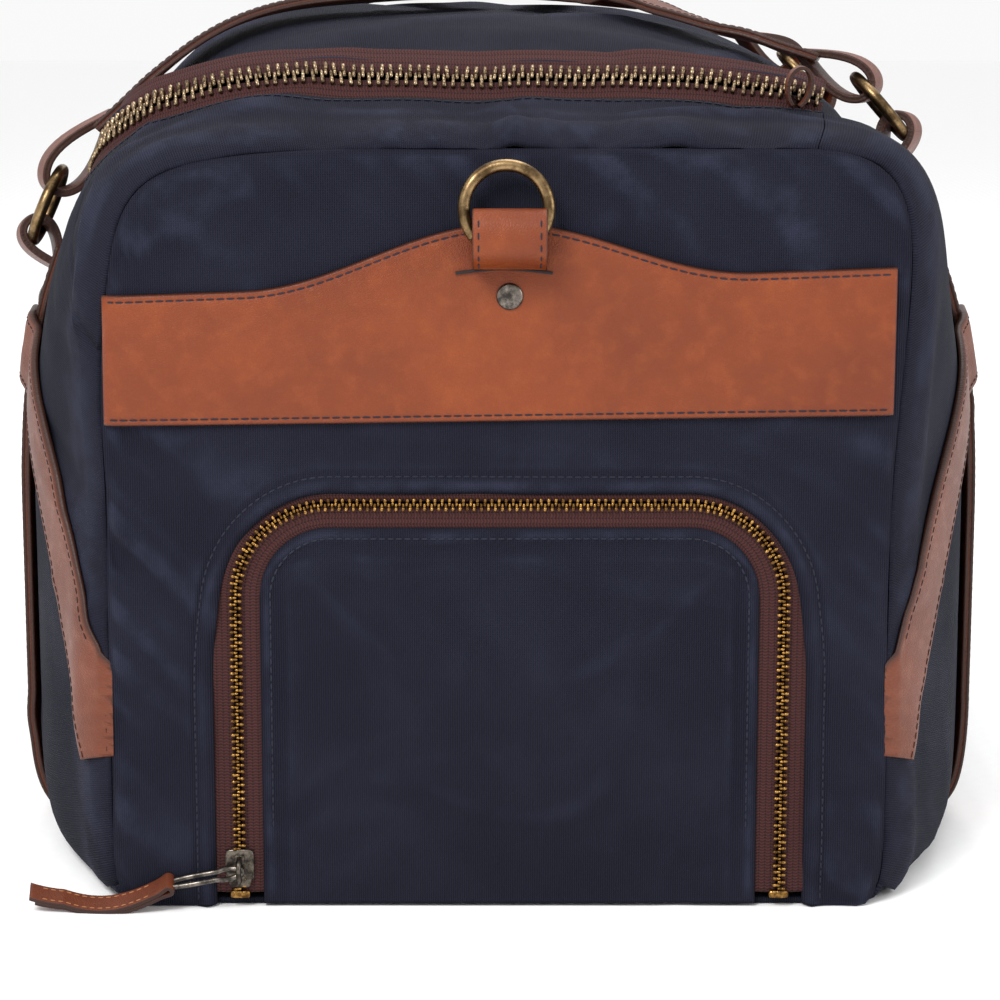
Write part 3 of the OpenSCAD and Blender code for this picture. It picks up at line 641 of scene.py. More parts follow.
def dense(breaks, step=3.0):
    """Rising values through the breaks, about a step apart."""
    parts = [np.linspace(a, b, max(2, int(abs(b - a) / step) + 1))[:-1] for a, b in zip(breaks, breaks[1:])]
    return np.concatenate(parts + [[breaks[-1]]])


body_y = dense([-shell_y, -half_l + 40, half_l - 40, shell_y], 2.6)
right_s = dense([hinge_s + 0.3, 120 * mm_per_deg, base_angle * mm_per_deg], 3.0)
S, Y = np.meshgrid(right_s, body_y)
canvas_grid("right_side_canvas", "side_panel_right", "root", S, Y)

corner_steps = 28


def zip_path():
    """U-shaped zip line as rows of [s, y, outward s, outward y, border s, border y], from the near right end."""
    leg_s = dense([hinge_s, zip_s + zip_corner], 2.6)
    one, nil = np.ones_like(leg_s), np.zeros_like(leg_s)
    leg = np.stack([leg_s, -zip_y * one, nil, -one, leg_s, -shell_y * one], -1)
    f = np.linspace(0, 1, corner_steps + 1)[1:-1]
    a = np.radians(270 - 90 * f)
    corner = np.stack([zip_s + zip_corner * (1 + np.cos(a)), -zip_y + zip_corner * (1 + np.sin(a)),
                       np.cos(a), np.sin(a),
                       np.where(f < 0.5, mix(zip_s + zip_corner, side_s, np.minimum(2 * f, 1)), side_s),
                       np.where(f < 0.5, -shell_y, mix(-shell_y, -zip_y + zip_corner, np.maximum(2 * f - 1, 0)))], -1)
    left_y = dense([-zip_y + zip_corner, zip_y - zip_corner], 2.6)
    one, nil = np.ones_like(left_y), np.zeros_like(left_y)
    left = np.stack([zip_s * one, left_y, -one, nil, side_s * one, left_y], -1)
    flip = np.array([1, -1, 1, -1, 1, -1])
    line = np.concatenate([leg, corner, left, corner[::-1] * flip, leg[::-1] * flip])
    return line, len(leg) + corner_steps // 2 - 1


zip_line, near_rows = zip_path()


def zip_beside(o, off=0.0, line=None):
    """Points beside the zip line: o outside it along the surface, off above the surface."""
    line = zip_line if line is None else line
    s, y = line[:, 0] + line[:, 2] * o, line[:, 1] + line[:, 3] * o
    return cloth(s, y, skin_relief(s, y) + off)


def gusset_grid(rows, share):
    """Places between the border of the top (share 0) and the canvas edge beside the zip (share 1)."""
    part = zip_line[rows][:, None]
    f = share[None, :]
    return (mix(part[..., 4], part[..., 0] + part[..., 2] * zip_lip, f),
            mix(part[..., 5], part[..., 1] + part[..., 3] * zip_lip, f))


share = np.linspace(0, 1, 22)
last = len(zip_line)
s, y = gusset_grid(slice(0, near_rows + 1), share)
canvas_grid("near_gusset_canvas", "gusset_near", "root", s, y)
s, y = gusset_grid(slice(last - near_rows - 1, last), share)
canvas_grid("far_gusset_canvas", "gusset_far", "root", s, y)
s, y = gusset_grid(slice(near_rows, last - near_rows), share)
down = dense([-base_angle * mm_per_deg, side_s], 3.0)[:-1]
s_down = np.broadcast_to(down, (s.shape[0], len(down)))
y_down = np.broadcast_to(y[:, :1], s_down.shape)
canvas_grid("left_side_canvas", ["side_panel_left", "gusset_left"], "root",
            np.concatenate([s_down, s], 1), np.concatenate([y_down, y], 1))

base_a = dense([base_angle, 360 - base_angle], 1.6)
A, Y = np.meshgrid(base_a, body_y[::2])
base_front = skin(Y, A, 0)
base_piece = slab("base_canvas", base_front, skin(Y, A, -wall), canvas, uv=base_front[..., :2])
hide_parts("base_panel")
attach(base_piece, "root")

lid_lip = 5.2
lid_y = zip_y - lid_lip
lid_corner = zip_corner - lid_lip
ys = dense([-lid_y, -lid_y + lid_corner, lid_y - lid_corner, lid_y], 2.6)
d = np.maximum(0, np.abs(ys) - (lid_y - lid_corner))
left_edge = zip_s + zip_corner - np.sqrt(np.maximum(0, lid_corner ** 2 - d * d))
s = mix(left_edge[:, None], hinge_s - 0.3, np.linspace(0, 1, 96)[None, :])
y = np.broadcast_to(ys[:, None], s.shape)


def lid_puff(s, y):
    """Extra height of the lid beside its zip, where the band's lean lifts the canvas edge."""
    corner = np.maximum(0, np.abs(y) - (lid_y - lid_corner))
    edge = zip_s + zip_corner - np.sqrt(np.maximum(0, lid_corner ** 2 - corner ** 2))
    inside = np.minimum(lid_y - np.abs(y), s - edge)
    lift = 8.5 * ease((np.abs(y) - 150) / 50) * np.exp(-np.maximum(inside, 0) / 15)
    return lift * (1 + 0.1 * np.sin(s / 13 + y / 17))


canvas_grid("lid_canvas", "lid_panel", "lid", s, y, extra=lid_puff(s, y))

# ---------------------------------------------------------------- end panels and the pocket's door


def outline_at(a, end=-half_l):
    """Edge of the panel at y = end, in its own plane (x, z), at the angles a."""
    p = skin(end, a, 0.0)
    return p[..., 0], p[..., 2]


def edge_distance(x, z, end=-half_l):
    """About how far a point of the panel at y = end lies inside its edge, along the line from the core."""
    a = np.degrees(np.arctan2(x, z - core_z))
    rx, rz = raw(end, a)
    return np.hypot(rx, rz) - np.hypot(x, z - core_z)


def arch_distance(x, z):
    """Distance outside the pocket's zip line: a box with round upper corners."""
    q, p = np.abs(x - shoe_x) - (shoe_w / 2 - shoe_r), z - (shoe_h - shoe_r)
    return np.hypot(np.maximum(q, 0), np.maximum(p, 0)) + np.minimum(np.maximum(q, p), 0) - shoe_r


def arch_margin(z):
    """How far the panel's edge stays outside the zip line: wide at the legs, close to the teeth at the top."""
    return 8.6 - 5.2 * ease((z - 84) / 58)


def panel_y(x, z, with_arch=False):
    """Depth of the near panel's face: flat, rounded back at its edge, filled a little by the load."""
    inside = edge_distance(x, z, -half_l if with_arch else half_l)
    low = np.clip(z / 6, 0, 1)
    fill = 2.2 * ease(inside / 60) * (1 - 0.85 * np.exp(-((z - 210) / 55) ** 2))
    roll_back = (2.9 + 0.5 * np.sin((x - z) / 17.0)) * np.exp(-np.maximum(inside, 0) / 3.0) * low
    relief = panel_relief(x, z) * ease(inside / 18)
    gather = 1.5 * seam_gather(x + z, np.maximum(inside - 3, 0), 1.0) * ease(inside / 5)
    gather = gather * (1 - 0.9 * ease((z - 170) / 7) * ease((238 - z) / 7))
    edge = 0.0
    if with_arch:
        d = np.maximum(arch_distance(x, z) - arch_margin(z), 0)
        edge = 1.7 * np.exp(-d / 1.1) - 0.9 * np.exp(-((d - 3.4) / 2.2) ** 2) + 0.6 * np.exp(-((d - 7.0) / 1.5) ** 2)
        edge = edge - 1.2 * np.exp(-((d - 14) / 8) ** 2) * np.sin(x / 19 + z / 13)
    return -half_l - fill - relief - gather + roll_back + edge


def arch_path(off, foot, n=30):
    """The pocket's zip line grown by off: up the left leg, round over the top, down the right leg."""
    w, h, r = shoe_w / 2 + off, shoe_h + off, shoe_r + off
    t = np.linspace(0, np.pi / 2, n)
    left = np.stack([np.full(60, -w), np.linspace(foot, h - r, 60, endpoint=False)], -1)
    corner = np.stack([-w + r - r * np.cos(t), h - r + r * np.sin(t)], -1)
    top_x = np.linspace(-w + r, 0, 50)[1:]
    top = np.stack([top_x, np.full(len(top_x), h)], -1)
    half = np.concatenate([left, corner, top])
    return np.concatenate([half, half[::-1][1:] * [-1, 1]]) + [shoe_x, 0]


def end_panel(name, node, sign, with_arch):
    """Canvas face of one end: a ruled sheet from its edge to the pocket's arch, or to its middle."""
    inner = arch_path(0.0, 0.6)
    if with_arch:
        wide = arch_path(1.0, 0.6) - inner
        inner = inner + wide * arch_margin(inner[:, 1])[:, None]
    else:
        inner = inner * 0.0005 + [0, core_z]
    seg = np.linalg.norm(np.diff(inner, axis=0), axis=1)
    place = np.concatenate([[0], np.cumsum(seg)]) / seg.sum()
    if with_arch:
        foot = [math.degrees(math.atan2(inner[k, 0] * 1.002, -core_z)) for k in (0, -1)]
        angle = mix(foot[0], foot[1], place)
    else:
        angle = np.linspace(-180, 180, len(inner))
    x0, z0 = outline_at(angle, -half_l * sign)
    t = 1 - (1 - np.linspace(0, 1, 90)[None, :] ** 1.2) ** 1.35
    x = mix(x0[:, None], inner[:, 0][:, None], t)
    z = mix(z0[:, None], inner[:, 1][:, None], t)
    y = panel_y(x, z, with_arch)
    front = np.stack([x, y * sign, z], -1)
    back = np.stack([x, np.full_like(x, -shell_y * sign), z], -1)
    # Mark of the raised creases: rubbed wear plus a painted highlight.
    mark = ridge_wear_and_highlight(-(y + half_l))
    piece = slab(name, front, back, canvas, uv=np.stack([x, z], -1), flip=sign > 0, crease_wear_and_highlight=mark)
    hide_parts(node)
    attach(piece, "root")
    return piece


end_panel("near_panel_canvas", "near_end_panel", 1, True)
end_panel("far_panel_canvas", "far_end_panel", -1, False)


def door_canvas():
    """Pocket door and the strip under it in one piece, with a few soft folds in its face."""
    off = -zip_lip - 0.6
    w, h, r = shoe_w / 2 + off, shoe_h + off, shoe_r + off
    u = np.sin(np.linspace(-np.pi / 2, np.pi / 2, 150)) * 0.35 + np.linspace(-1, 1, 150) * 0.65
    x = u * w
    over = np.maximum(0, np.abs(x) - (w - r))
    top = h - r + np.sqrt(np.maximum(0, r * r - over * over))
    f = np.linspace(0, 1, 110)
    z = mix(0.8, top[:, None], f[None, :])
    x = np.broadcast_to(x[:, None], z.shape)
    rim = np.minimum(np.minimum(w - np.abs(x), top[:, None] - z), 60)
    fill = 5.0 * ease(rim / 55) * ease(z / 60)
    folds = (crease(x, z, -60, 128, 10, 70, 7, 0.9, 0.2) + crease(x, z, 40, 120, -12, 60, 7, 0.8, 0.1)
             + crease(x, z, -82, 70, 88, 50, 4, -0.6, 0.1) + crease(x, z, 84, 80, 92, 50, 4, -0.6, 0.1))
    lip = 0.9 * np.exp(-((rim - 2.5) / 2.2) ** 2) - 0.5 * np.exp(-((rim - 7.5) / 1.4) ** 2)
    relief = fill + panel_relief(x + 70, z) * ease(rim / 12) + folds * ease(rim / 6) + lip * np.clip(z / 8, 0, 1)
    y = -half_l - relief
    front = np.stack([x + shoe_x, y, z], -1)
    back = np.stack([x + shoe_x, np.full_like(x, -half_l + end_t - 0.5), z], -1)
    # The crease mark is rubbed wear plus a painted highlight on the raised creases.
    piece = slab("shoe_door_canvas", front, back, canvas, uv=np.stack([x, z], -1), flip=True,
                 crease_wear_and_highlight=ridge_wear_and_highlight(relief))
    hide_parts("shoe_door_panel")
    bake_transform(piece)
    return front


door_front = door_canvas()

# ---------------------------------------------------------------- zips


def zip_rise(line):
    """How far the teeth of the main zip stand above the canvas along its line."""
    return 1.4 + 3.6 * ease((np.abs(line[:, 1]) - 140) / 70)


def zip_lean(line):
    """Angle in radians by which the zip's band leans outwards across each end of the opening."""
    return 0.8 * ease((np.abs(line[:, 1]) - 165) / 45)


def zip_place(o, h, line):
    """Point of the zip's band: o outside the teeth and h above them, turned by the lean of the band."""
    lean_at, up = zip_lean(line), zip_rise(line)
    return zip_beside(o * np.cos(lean_at) + h * np.sin(lean_at), up + h * np.cos(lean_at) - o * np.sin(lean_at), line)


def tape_strip(name, body, o1, o2, line, node):
    """Zip tape beside the main zip, from o1 to o2, 0.9 thick, tucked down at its canvas side."""
    f = np.linspace(0, 1, 11)[:, None]
    tuck = -1.0 - 1.6 * ease((f - 0.45) / 0.5)
    front = np.stack([zip_place(mix(o1, o2, g[0]), t[0], line) for g, t in zip(f, tuck)])
    back = np.stack([zip_place(mix(o1, o2, g[0]), t[0] - 0.9, line) for g, t in zip(f, tuck)])
    along = np.concatenate([[0], np.cumsum(np.linalg.norm(np.diff(front[0], axis=0), axis=1))])
    uv = np.stack([np.broadcast_to(along, front.shape[:2]), np.broadcast_to(f * abs(o2 - o1), front.shape[:2])], -1)
    piece = slab(name, front, back, tape_cloth, uv=uv, flip=o2 < o1)
    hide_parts(node)
    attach(piece, body)
    return piece


lid_line = zip_line.copy()
lid_line[:, 0] = np.minimum(lid_line[:, 0], hinge_s - 0.4)
tape_strip("main_tape_outer", "root", 1.2, 15.5, zip_line, "main_zip_tape_outer")
tape_strip("main_tape_inner", "lid", -1.2, -11.5, lid_line, "main_zip_tape_inner")


def rounded_block(power=5.0, n=2):
    """Unit block with rounded edges: each point of a cube's grid is moved to |x|^p + |y|^p + |z|^p = 1."""
    g = np.linspace(-1, 1, n + 1)
    a, b = np.meshgrid(g, g, indexing="ij")
    verts, faces = [], []
    for axis in range(3):
        for sign in (-1, 1):
            p = np.empty((n + 1, n + 1, 3))
            p[..., axis], p[..., (axis + 1) % 3], p[..., (axis + 2) % 3] = sign, a, b
            faces.append(grid_faces(n + 1, n + 1, len(verts) * (n + 1) ** 2, sign > 0))
            verts.append(p.reshape(-1, 3))
    p = np.concatenate(verts)
    p = p / (np.abs(p) ** power).sum(1, keepdims=True) ** (1 / power)
    return weld(p, np.concatenate(faces)[:, ::-1])


def weld(points, faces):
    """The same shape with points in one place joined."""
    _, first, place = np.unique(np.round(points, 5), axis=0, return_index=True, return_inverse=True)
    return points[first], place.ravel()[faces]


def tooth_shape(reach, thick, tall):
    """One tooth: a clamp block on the tape with a narrower head towards the middle of the zip, along +Y."""
    block, faces = rounded_block(4.5, 2)
    foot = block * [thick / 2, reach * 0.36, tall / 2] + [0, -reach * 0.3, 0]
    head = block * [thick * 0.42, reach * 0.34, tall * 0.36] + [0, reach * 0.26, tall * 0.04]
    return np.concatenate([foot, head]), np.concatenate([faces, faces + len(block)])


def teeth(name, body, middle, out, up, pitch, side, nodes, brass, reach=4.5, thick=1.5, tall=2.2, keep=None):
    """Row of teeth along a zip line; side is +1 for the outer row, and the rows are half a pitch apart."""
    at, along, share, total = evenly(middle, pitch, pitch * (0.5 + 0.25 * side))
    src = np.concatenate([[0], np.cumsum(np.linalg.norm(np.diff(middle, axis=0), axis=1))]) / total
    outward = unit(np.stack([np.interp(share, src, out[:, k]) for k in range(3)], -1)) * side
    upward = unit(np.stack([np.interp(share, src, up[:, k]) for k in range(3)], -1))
    x_dir = unit(along - upward * (along * upward).sum(1, keepdims=True))
    y_dir = -outward
    z_dir = unit(np.cross(x_dir, y_dir))
    turned = (z_dir * upward).sum(1, keepdims=True)
    x_dir = x_dir * np.sign(turned)
    z_dir = unit(np.cross(x_dir, y_dir))
    tilt = local_rng.normal(0, 0.05, (len(at), 1))
    x_dir, y_dir = unit(x_dir + tilt * y_dir), unit(y_dir - tilt * x_dir)
    place = at - y_dir * (reach * 0.36) + z_dir * local_rng.normal(0, 0.08, (len(at), 1))
    if keep is not None:
        ok = keep(at)
        place, x_dir, y_dir, z_dir = place[ok], x_dir[ok], y_dir[ok], z_dir[ok]
    shape, faces = tooth_shape(reach, thick, tall)
    piece = copies(name, shape, faces, place, x_dir, y_dir, z_dir, brass)
    if nodes:
        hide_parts(nodes)
    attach(piece, body)
    return piece


local_rng = np.random.default_rng(11)


def zip_frame(line):
    """Middle of the main zip with its outward and upward directions."""
    middle = zip_place(0.0, 0.0, line)
    outward = unit(zip_place(2.0, 0.0, line) - zip_place(-2.0, 0.0, line))
    return middle, outward, unit(zip_place(0.0, 2.0, line) - middle)


teeth("main_teeth_outer", "root", *zip_frame(zip_line), 3.4, 1, "main_zip_chain_outer", tooth_brass)
teeth("main_teeth_inner", "lid", *zip_frame(lid_line), 3.4, -1, "main_zip_chain_inner", tooth_brass)


def shoe_strip(name, node, body, o1, o2, y1, y2):
    """Zip tape beside the pocket's zip, from o1 to o2 outside its line, at depths y1 to y2."""
    f = np.linspace(0, 1, 9)
    lines = [arch_path(mix(o1, o2, g), shoe_foot - 2) for g in f]
    pts = np.stack([np.stack([l[:, 0], np.full(len(l), mix(y1, y2, g)), l[:, 1]], -1) for l, g in zip(lines, f)])
    along = np.concatenate([[0], np.cumsum(np.linalg.norm(np.diff(pts[4], axis=0), axis=1))])
    over = f[:, None] * abs(o2 - o1)
    uv = np.stack([np.broadcast_to(along, pts.shape[:2]), np.broadcast_to(over, pts.shape[:2])], -1)
    piece = slab(name, pts, pts + [0, 0.9, 0], tape_cloth, uv=uv, flip=o2 > o1)
    if node:
        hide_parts(node)
    if body == "root":
        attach(piece, body)
    else:
        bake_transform(piece)
    return piece


shoe_strip("shoe_tape_outer", "shoe_zip_tape_outer", "root", 1.0, 13.0, -270.2, -268.7)
shoe_strip("shoe_tape_inner", "shoe_zip_tape_inner", "shoe_door", -1.0, -13.0, -270.2, -268.9)
mid_line = arch_path(0.0, shoe_foot - 2)
shoe_mid = np.stack([mid_line[:, 0], np.full(len(mid_line), -half_l - 1.4), mid_line[:, 1]], -1)
outer_line = arch_path(2.0, shoe_foot - 2)
step_out = outer_line - mid_line
shoe_out = np.stack([step_out[:, 0], np.zeros(len(mid_line)), step_out[:, 1]], -1)
shoe_up = np.tile([0.0, -1.0, 0.0], (len(mid_line), 1))
small = dict(reach=2.35, thick=1.15, tall=2.0)
teeth("shoe_teeth_outer", "root", shoe_mid, shoe_out, shoe_up, 2.5, 1, "shoe_zip_chain_outer", pocket_brass, **small)
teeth("shoe_teeth_inner", "shoe_door", shoe_mid, shoe_out, shoe_up, 2.5, -1, "shoe_zip_chain_inner", pocket_brass,
      keep=lambda p: p[:, 2] > door_fold, **small)
teeth("shoe_teeth_foot", "root", shoe_mid, shoe_out, shoe_up, 2.5, -1, None, pocket_brass,
      keep=lambda p: p[:, 2] <= door_fold, **small)

# ---------------------------------------------------------------- leather


def strap(name, mid, across, normal, width, thick, material, body, node=None, groove=0.35):
    """Strap along a path: rounded edges with a groove where its two layers meet; edges are marked dark."""
    w, t = width / 2, thick / 2
    k = np.array([[-0.99, 0.95], [-0.94, 1.0], [-0.55, 1.06], [0, 1.08], [0.55, 1.06], [0.94, 1.0], [0.99, 0.95],
                  [1.0, 0.6], [1 - groove / w * 0.3, 0.25], [1 - groove / w, 0], [1 - groove / w * 0.3, -0.25],
                  [1.0, -0.6],
                  [0.99, -0.95], [0.94, -1.0], [0.5, -1.0], [0, -1.0], [-0.5, -1.0], [-0.94, -1.0], [-0.99, -0.95],
                  [-1.0, -0.6], [-1 + groove / w * 0.3, -0.25], [-1 + groove / w, 0], [-1 + groove / w * 0.3, 0.25],
                  [-1.0, 0.6]])
    k = np.roll(k, 8, axis=0)
    mid, across, normal = (np.asarray(v, float) for v in (mid, unit(across), unit(normal)))
    pts = (mid[:, None] + across[:, None] * (k[:, 0] * w)[None, :, None]
           + normal[:, None] * (k[:, 1] * t)[None, :, None])
    mark = np.broadcast_to((np.abs(k[:, 0]) > 0.975) * 1.0, pts.shape[:2])
    along = np.concatenate([[0], np.cumsum(np.linalg.norm(np.diff(mid, axis=0), axis=1))])
    girth = k[:, 0] * w + (k[:, 1] < 0) * 70
    uv = np.stack([np.broadcast_to(along[:, None], pts.shape[:2]), np.broadcast_to(girth[None], pts.shape[:2])], -1)
    ahead = mid[1] - mid[0]
    if np.dot(np.cross(across[0], normal[0]), ahead) > 0:
        pts, mark, uv = pts[:, ::-1], mark[:, ::-1], uv[:, ::-1]
    piece = ring_mesh(name, pts, material, uv=uv, edge=mark)
    if node:
        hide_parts(node)
    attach(piece, body)
    return piece


def side_stitches(name, mid, across, normal, width, thick, body, thread, inset=2.4, pitch=3.4, both=True):
    """A row of stitches along each edge of a strap."""
    across, normal = unit(np.asarray(across, float)), unit(np.asarray(normal, float))
    for side in (-1, 1) if both else (1,):
        path = mid + across * side * (width / 2 - inset) + normal * (thick * 0.53)
        stitches(name + ("_a" if side < 0 else "_b"), path, normal, body, thread, pitch=pitch)


def teardrop(r, reach, n=40):
    """Loop round a ring's wire: a circle of radius r drawn out to a point at distance reach, as (along, across)."""
    f = np.linspace(-1, 1, n)
    a = f * np.pi
    stretch = r + (reach - r) * np.abs(f) ** 4
    return np.stack([stretch * np.cos(a), stretch * np.sin(a) * (1 - 0.55 * np.abs(f) ** 3)], -1)


def loop_strap(name, centre, along, across, axis, r, reach, width, thick, body, material, node=None):
    """Leather loop through a ring: the teardrop in the plane of along and across, as wide as width along axis."""
    t = teardrop(r, reach)
    mid = centre + t[:, :1] * along + t[:, 1:] * across
    ahead = np.gradient(mid, axis=0)
    wide = np.broadcast_to(axis, mid.shape)
    normal = unit(np.cross(ahead, wide))
    normal = normal * np.sign((normal * (mid - centre)).sum(1, keepdims=True) + 1e-9)
    piece = strap(name, mid, wide, normal, width, thick, material, body, node, groove=0.1)
    return mid, normal, piece


def band_top(x):
    """Upper edge of an end band: a bell, 0.5 + 0.5 cos 2x within 90 mm of the middle, on a slight slope."""
    bell = np.where(np.abs(x) < 90, 0.5 + 0.5 * np.cos(np.radians(2 * x)), 0)
    return 228.3 + 20.5 * bell + x * math.tan(math.radians(2.1))


def band_bottom(x):
    """Lower edge of an end band."""
    return 179 + x * math.tan(math.radians(0.8))


def end_band(name, node, sign):
    """Leather band across an end, with pressed stitch lines and rounded dark edges."""
    w = end_w / 2 - (3.6 if sign > 0 else 0.6)
    x = dense([-w, -w + 3, w - 3, w], 1.3)[:, None]
    low, high = band_bottom(x), band_top(x)
    f = np.concatenate([[0, 0.006, 0.014, 0.024, 0.036, 0.048, 0.06], np.linspace(0.08, 0.92, 44),
                        [0.94, 0.952, 0.964, 0.976, 0.986, 0.994, 1]])[None, :]
    z = mix(low, high, f)
    inside = np.minimum(z - low, high - z)
    round_off = 1.3 * (1 - np.sqrt(np.clip(1 - (1 - np.clip(inside / 1.1, 0, 1)) ** 2, 0, 1)))
    line = 0.35 * np.exp(-((inside - 2.3) / 0.5) ** 2)
    soft = 0.35 * swell(x * 3, z * 3) + 0.5 * swell(x + 90, z)
    seat = 0.8 * np.exp(-(((x - 4) / 17) ** 2 + ((z - 235) / 5) ** 2))
    end = 4.2 * np.exp(-np.maximum(edge_distance(x + 0 * z, z, -half_l * sign), 0) / 3.2)
    y = -half_l - 3.0 + round_off + line - soft + seat * 0.6 + end
    x = x + 0 * z
    pts = np.stack([x, y * sign, z], -1)
    back = np.stack([x, (np.full_like(y, -half_l - 0.2) + end) * sign, z], -1)
    piece = slab(name, pts, back, leather, uv=np.stack([x, z], -1), flip=sign > 0)
    mark = np.concatenate([np.exp(-(inside / 0.75) ** 2).ravel(), np.ones(pts[..., 0].size)])
    piece.data.attributes.new("edge", "FLOAT", "POINT").data.foreach_set("value", mark)
    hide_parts(node)
    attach(piece, "root")
    xs = np.linspace(-w + 2, w - 2, 500)
    for label, zs in (("low", band_bottom(xs) + 2.3), ("high", band_top(xs) - 2.3)):
        end = 4.2 * np.exp(-np.maximum(edge_distance(xs, zs, -half_l * sign), 0) / 3.2)
        ys = -half_l - 2.85 + end - 0.35 * swell(xs * 3, zs * 3) - 0.5 * swell(xs + 90, zs)
        path = np.stack([xs, ys * sign, zs], -1)
        stitches(name + "_stitch_" + label, path, np.tile([0, -sign, 0], (500, 1)), "root", navy_thread,
                 pitch=3.5, length=2.9, width=0.65, height=0.55)


end_band("near_band", "near_end_band", 1)
end_band("far_band", "far_end_band", -1)
ring_low, ring_high = 17.9, math.sqrt(13.3 ** 2 - 144)
ring_reach, eye_r = (ring_low + ring_high) / 2, (ring_low - ring_high) / 2 + 0.4
eye_out = eye_r + 2


def chape(name, node, sign):
    """Leather holding an end ring: up out of the band, over the ring's wire and down behind it."""
    cy, cz = -half_l - 2.5 - eye_out - 0.1, end_ring_z
    path = np.array([(-271.5, 232.5), (-273.8, 234.4), (-278, 235.6), (-284, 236.4), (-287.8, 239.5), (-288.9, 244.5),
                     (-287.6, 250.6), (-283.8, 254.2), (-278.8, 253.4), (-275.2, 248.4), (-273.4, 242),
                     (-272.6, 235)])
    t, u = np.linspace(0, 1, len(path)), np.linspace(0, 1, 60)
    for _ in range(2):
        path = np.stack([np.interp(u, t, path[:, k]) for k in (0, 1)], -1)
        kernel = np.array([1, 2, 3, 2, 1]) / 9
        path = np.stack([np.convolve(np.pad(path[:, k], 2, mode="edge"), kernel, "valid") for k in (0, 1)], -1)
        t = u
    mid = np.stack([np.full(60, shoe_x), path[:, 0] * sign, path[:, 1]], -1)
    wide = np.tile([1.0, 0, 0], (60, 1))
    ahead = np.gradient(mid, axis=0)
    normal = unit(np.cross(ahead, wide))
    normal *= np.sign((normal * (mid - [shoe_x, cy * sign, cz])).sum(1, keepdims=True))
    strap(name, mid, wide, normal, 26, 2.0, leather, "root", node, groove=0.1)
    side_stitches(name + "_stitch", mid[4:34], wide[4:34], normal[4:34], 26, 2.0, "root", navy_thread,
                  inset=2.2, pitch=3.3)
    lip_x = np.linspace(-17, 17, 60) + shoe_x - 2
    lip = np.stack([lip_x, np.full(60, (-half_l - 3.3) * sign), 231.6 + 1.4 * np.cos(np.linspace(-1.6, 1.6, 60))], -1)
    seam = tube(name + "_slot_lip", lip, 0.55, dark_thread, sides=8)
    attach(seam, "root")


chape("near_chape", "near_ring_chape", 1)
chape("far_chape", "far_ring_chape", -1)


def place_on_skin(y, a, off):
    """Point, outward direction and upward direction on the bag's surface."""
    nx, nz = out_dir(y, a)
    return skin(y, a, off), np.stack([nx, 0 * nx, nz], -1), np.stack([-nz, 0 * nx, nx], -1)


def eye_place(y, a):
    """Middle of a belly strap's loop over the surface, and the direction up the bag's side."""
    centre, n, up = place_on_skin(np.array([y]), np.array([a]), strap_t + 2.3 + eye_out)
    up = up[0] if a > 0 else -up[0]
    return centre[0], n[0], up * np.sign(up[2])


def belly_strap(name, node, y):
    """Strap down each side from a ring loop to the edge of the base, riveted under the loop."""
    parts = []
    for side in (-1, 1):
        ring_a = roll + side * ring_angle
        a = np.linspace(side * (base_angle - 7), ring_a, 120)
        yy = np.full(120, y)
        relief = skin_relief(a * mm_per_deg, yy)
        mid, normal, _ = place_on_skin(yy, a, 0.4 + strap_t / 2 + np.maximum(relief, 0))
        wide = np.tile([0, 1.0, 0], (120, 1))
        label = name + ("_left" if side < 0 else "_right")
        first = strap(label, mid, wide, normal, strap_w, strap_t, strap_leather, "root", node if side < 0 else None)
        side_stitches(label + "_stitch", mid, wide, normal, strap_w, strap_t, "root", dark_thread)
        centre, n, up = eye_place(y, ring_a)
        down = unit(mid[-1] - up * 9 - n * 1.2 - centre)
        flat = np.array([-0.35 * side * np.sign(y), 1.0, 0])
        flat = unit(flat - down * flat.dot(down))
        loop_strap(label + "_loop", centre, -down, np.cross(flat, down), flat, 5.8,
                   np.linalg.norm(mid[-1] - up * 9 - n * 1.2 - centre), 18, 3.0, "root", strap_leather)
        parts.append(first)
    return parts


belly_strap("near_belly_strap", "belly_strap_near", -belly_y)
belly_strap("far_belly_strap", "belly_strap_far", belly_y)


def angle_at(y, z):
    """Angle at which the surface at y has height z, found by halving."""
    low, high = np.full_like(y, 25.0), np.full_like(y, 128.0)
    for _ in range(22):
        m = (low + high) / 2
        above = skin(y, m)[..., 2] > z
        low, high = np.where(above, m, low), np.where(above, high, m)
    return (low + high) / 2


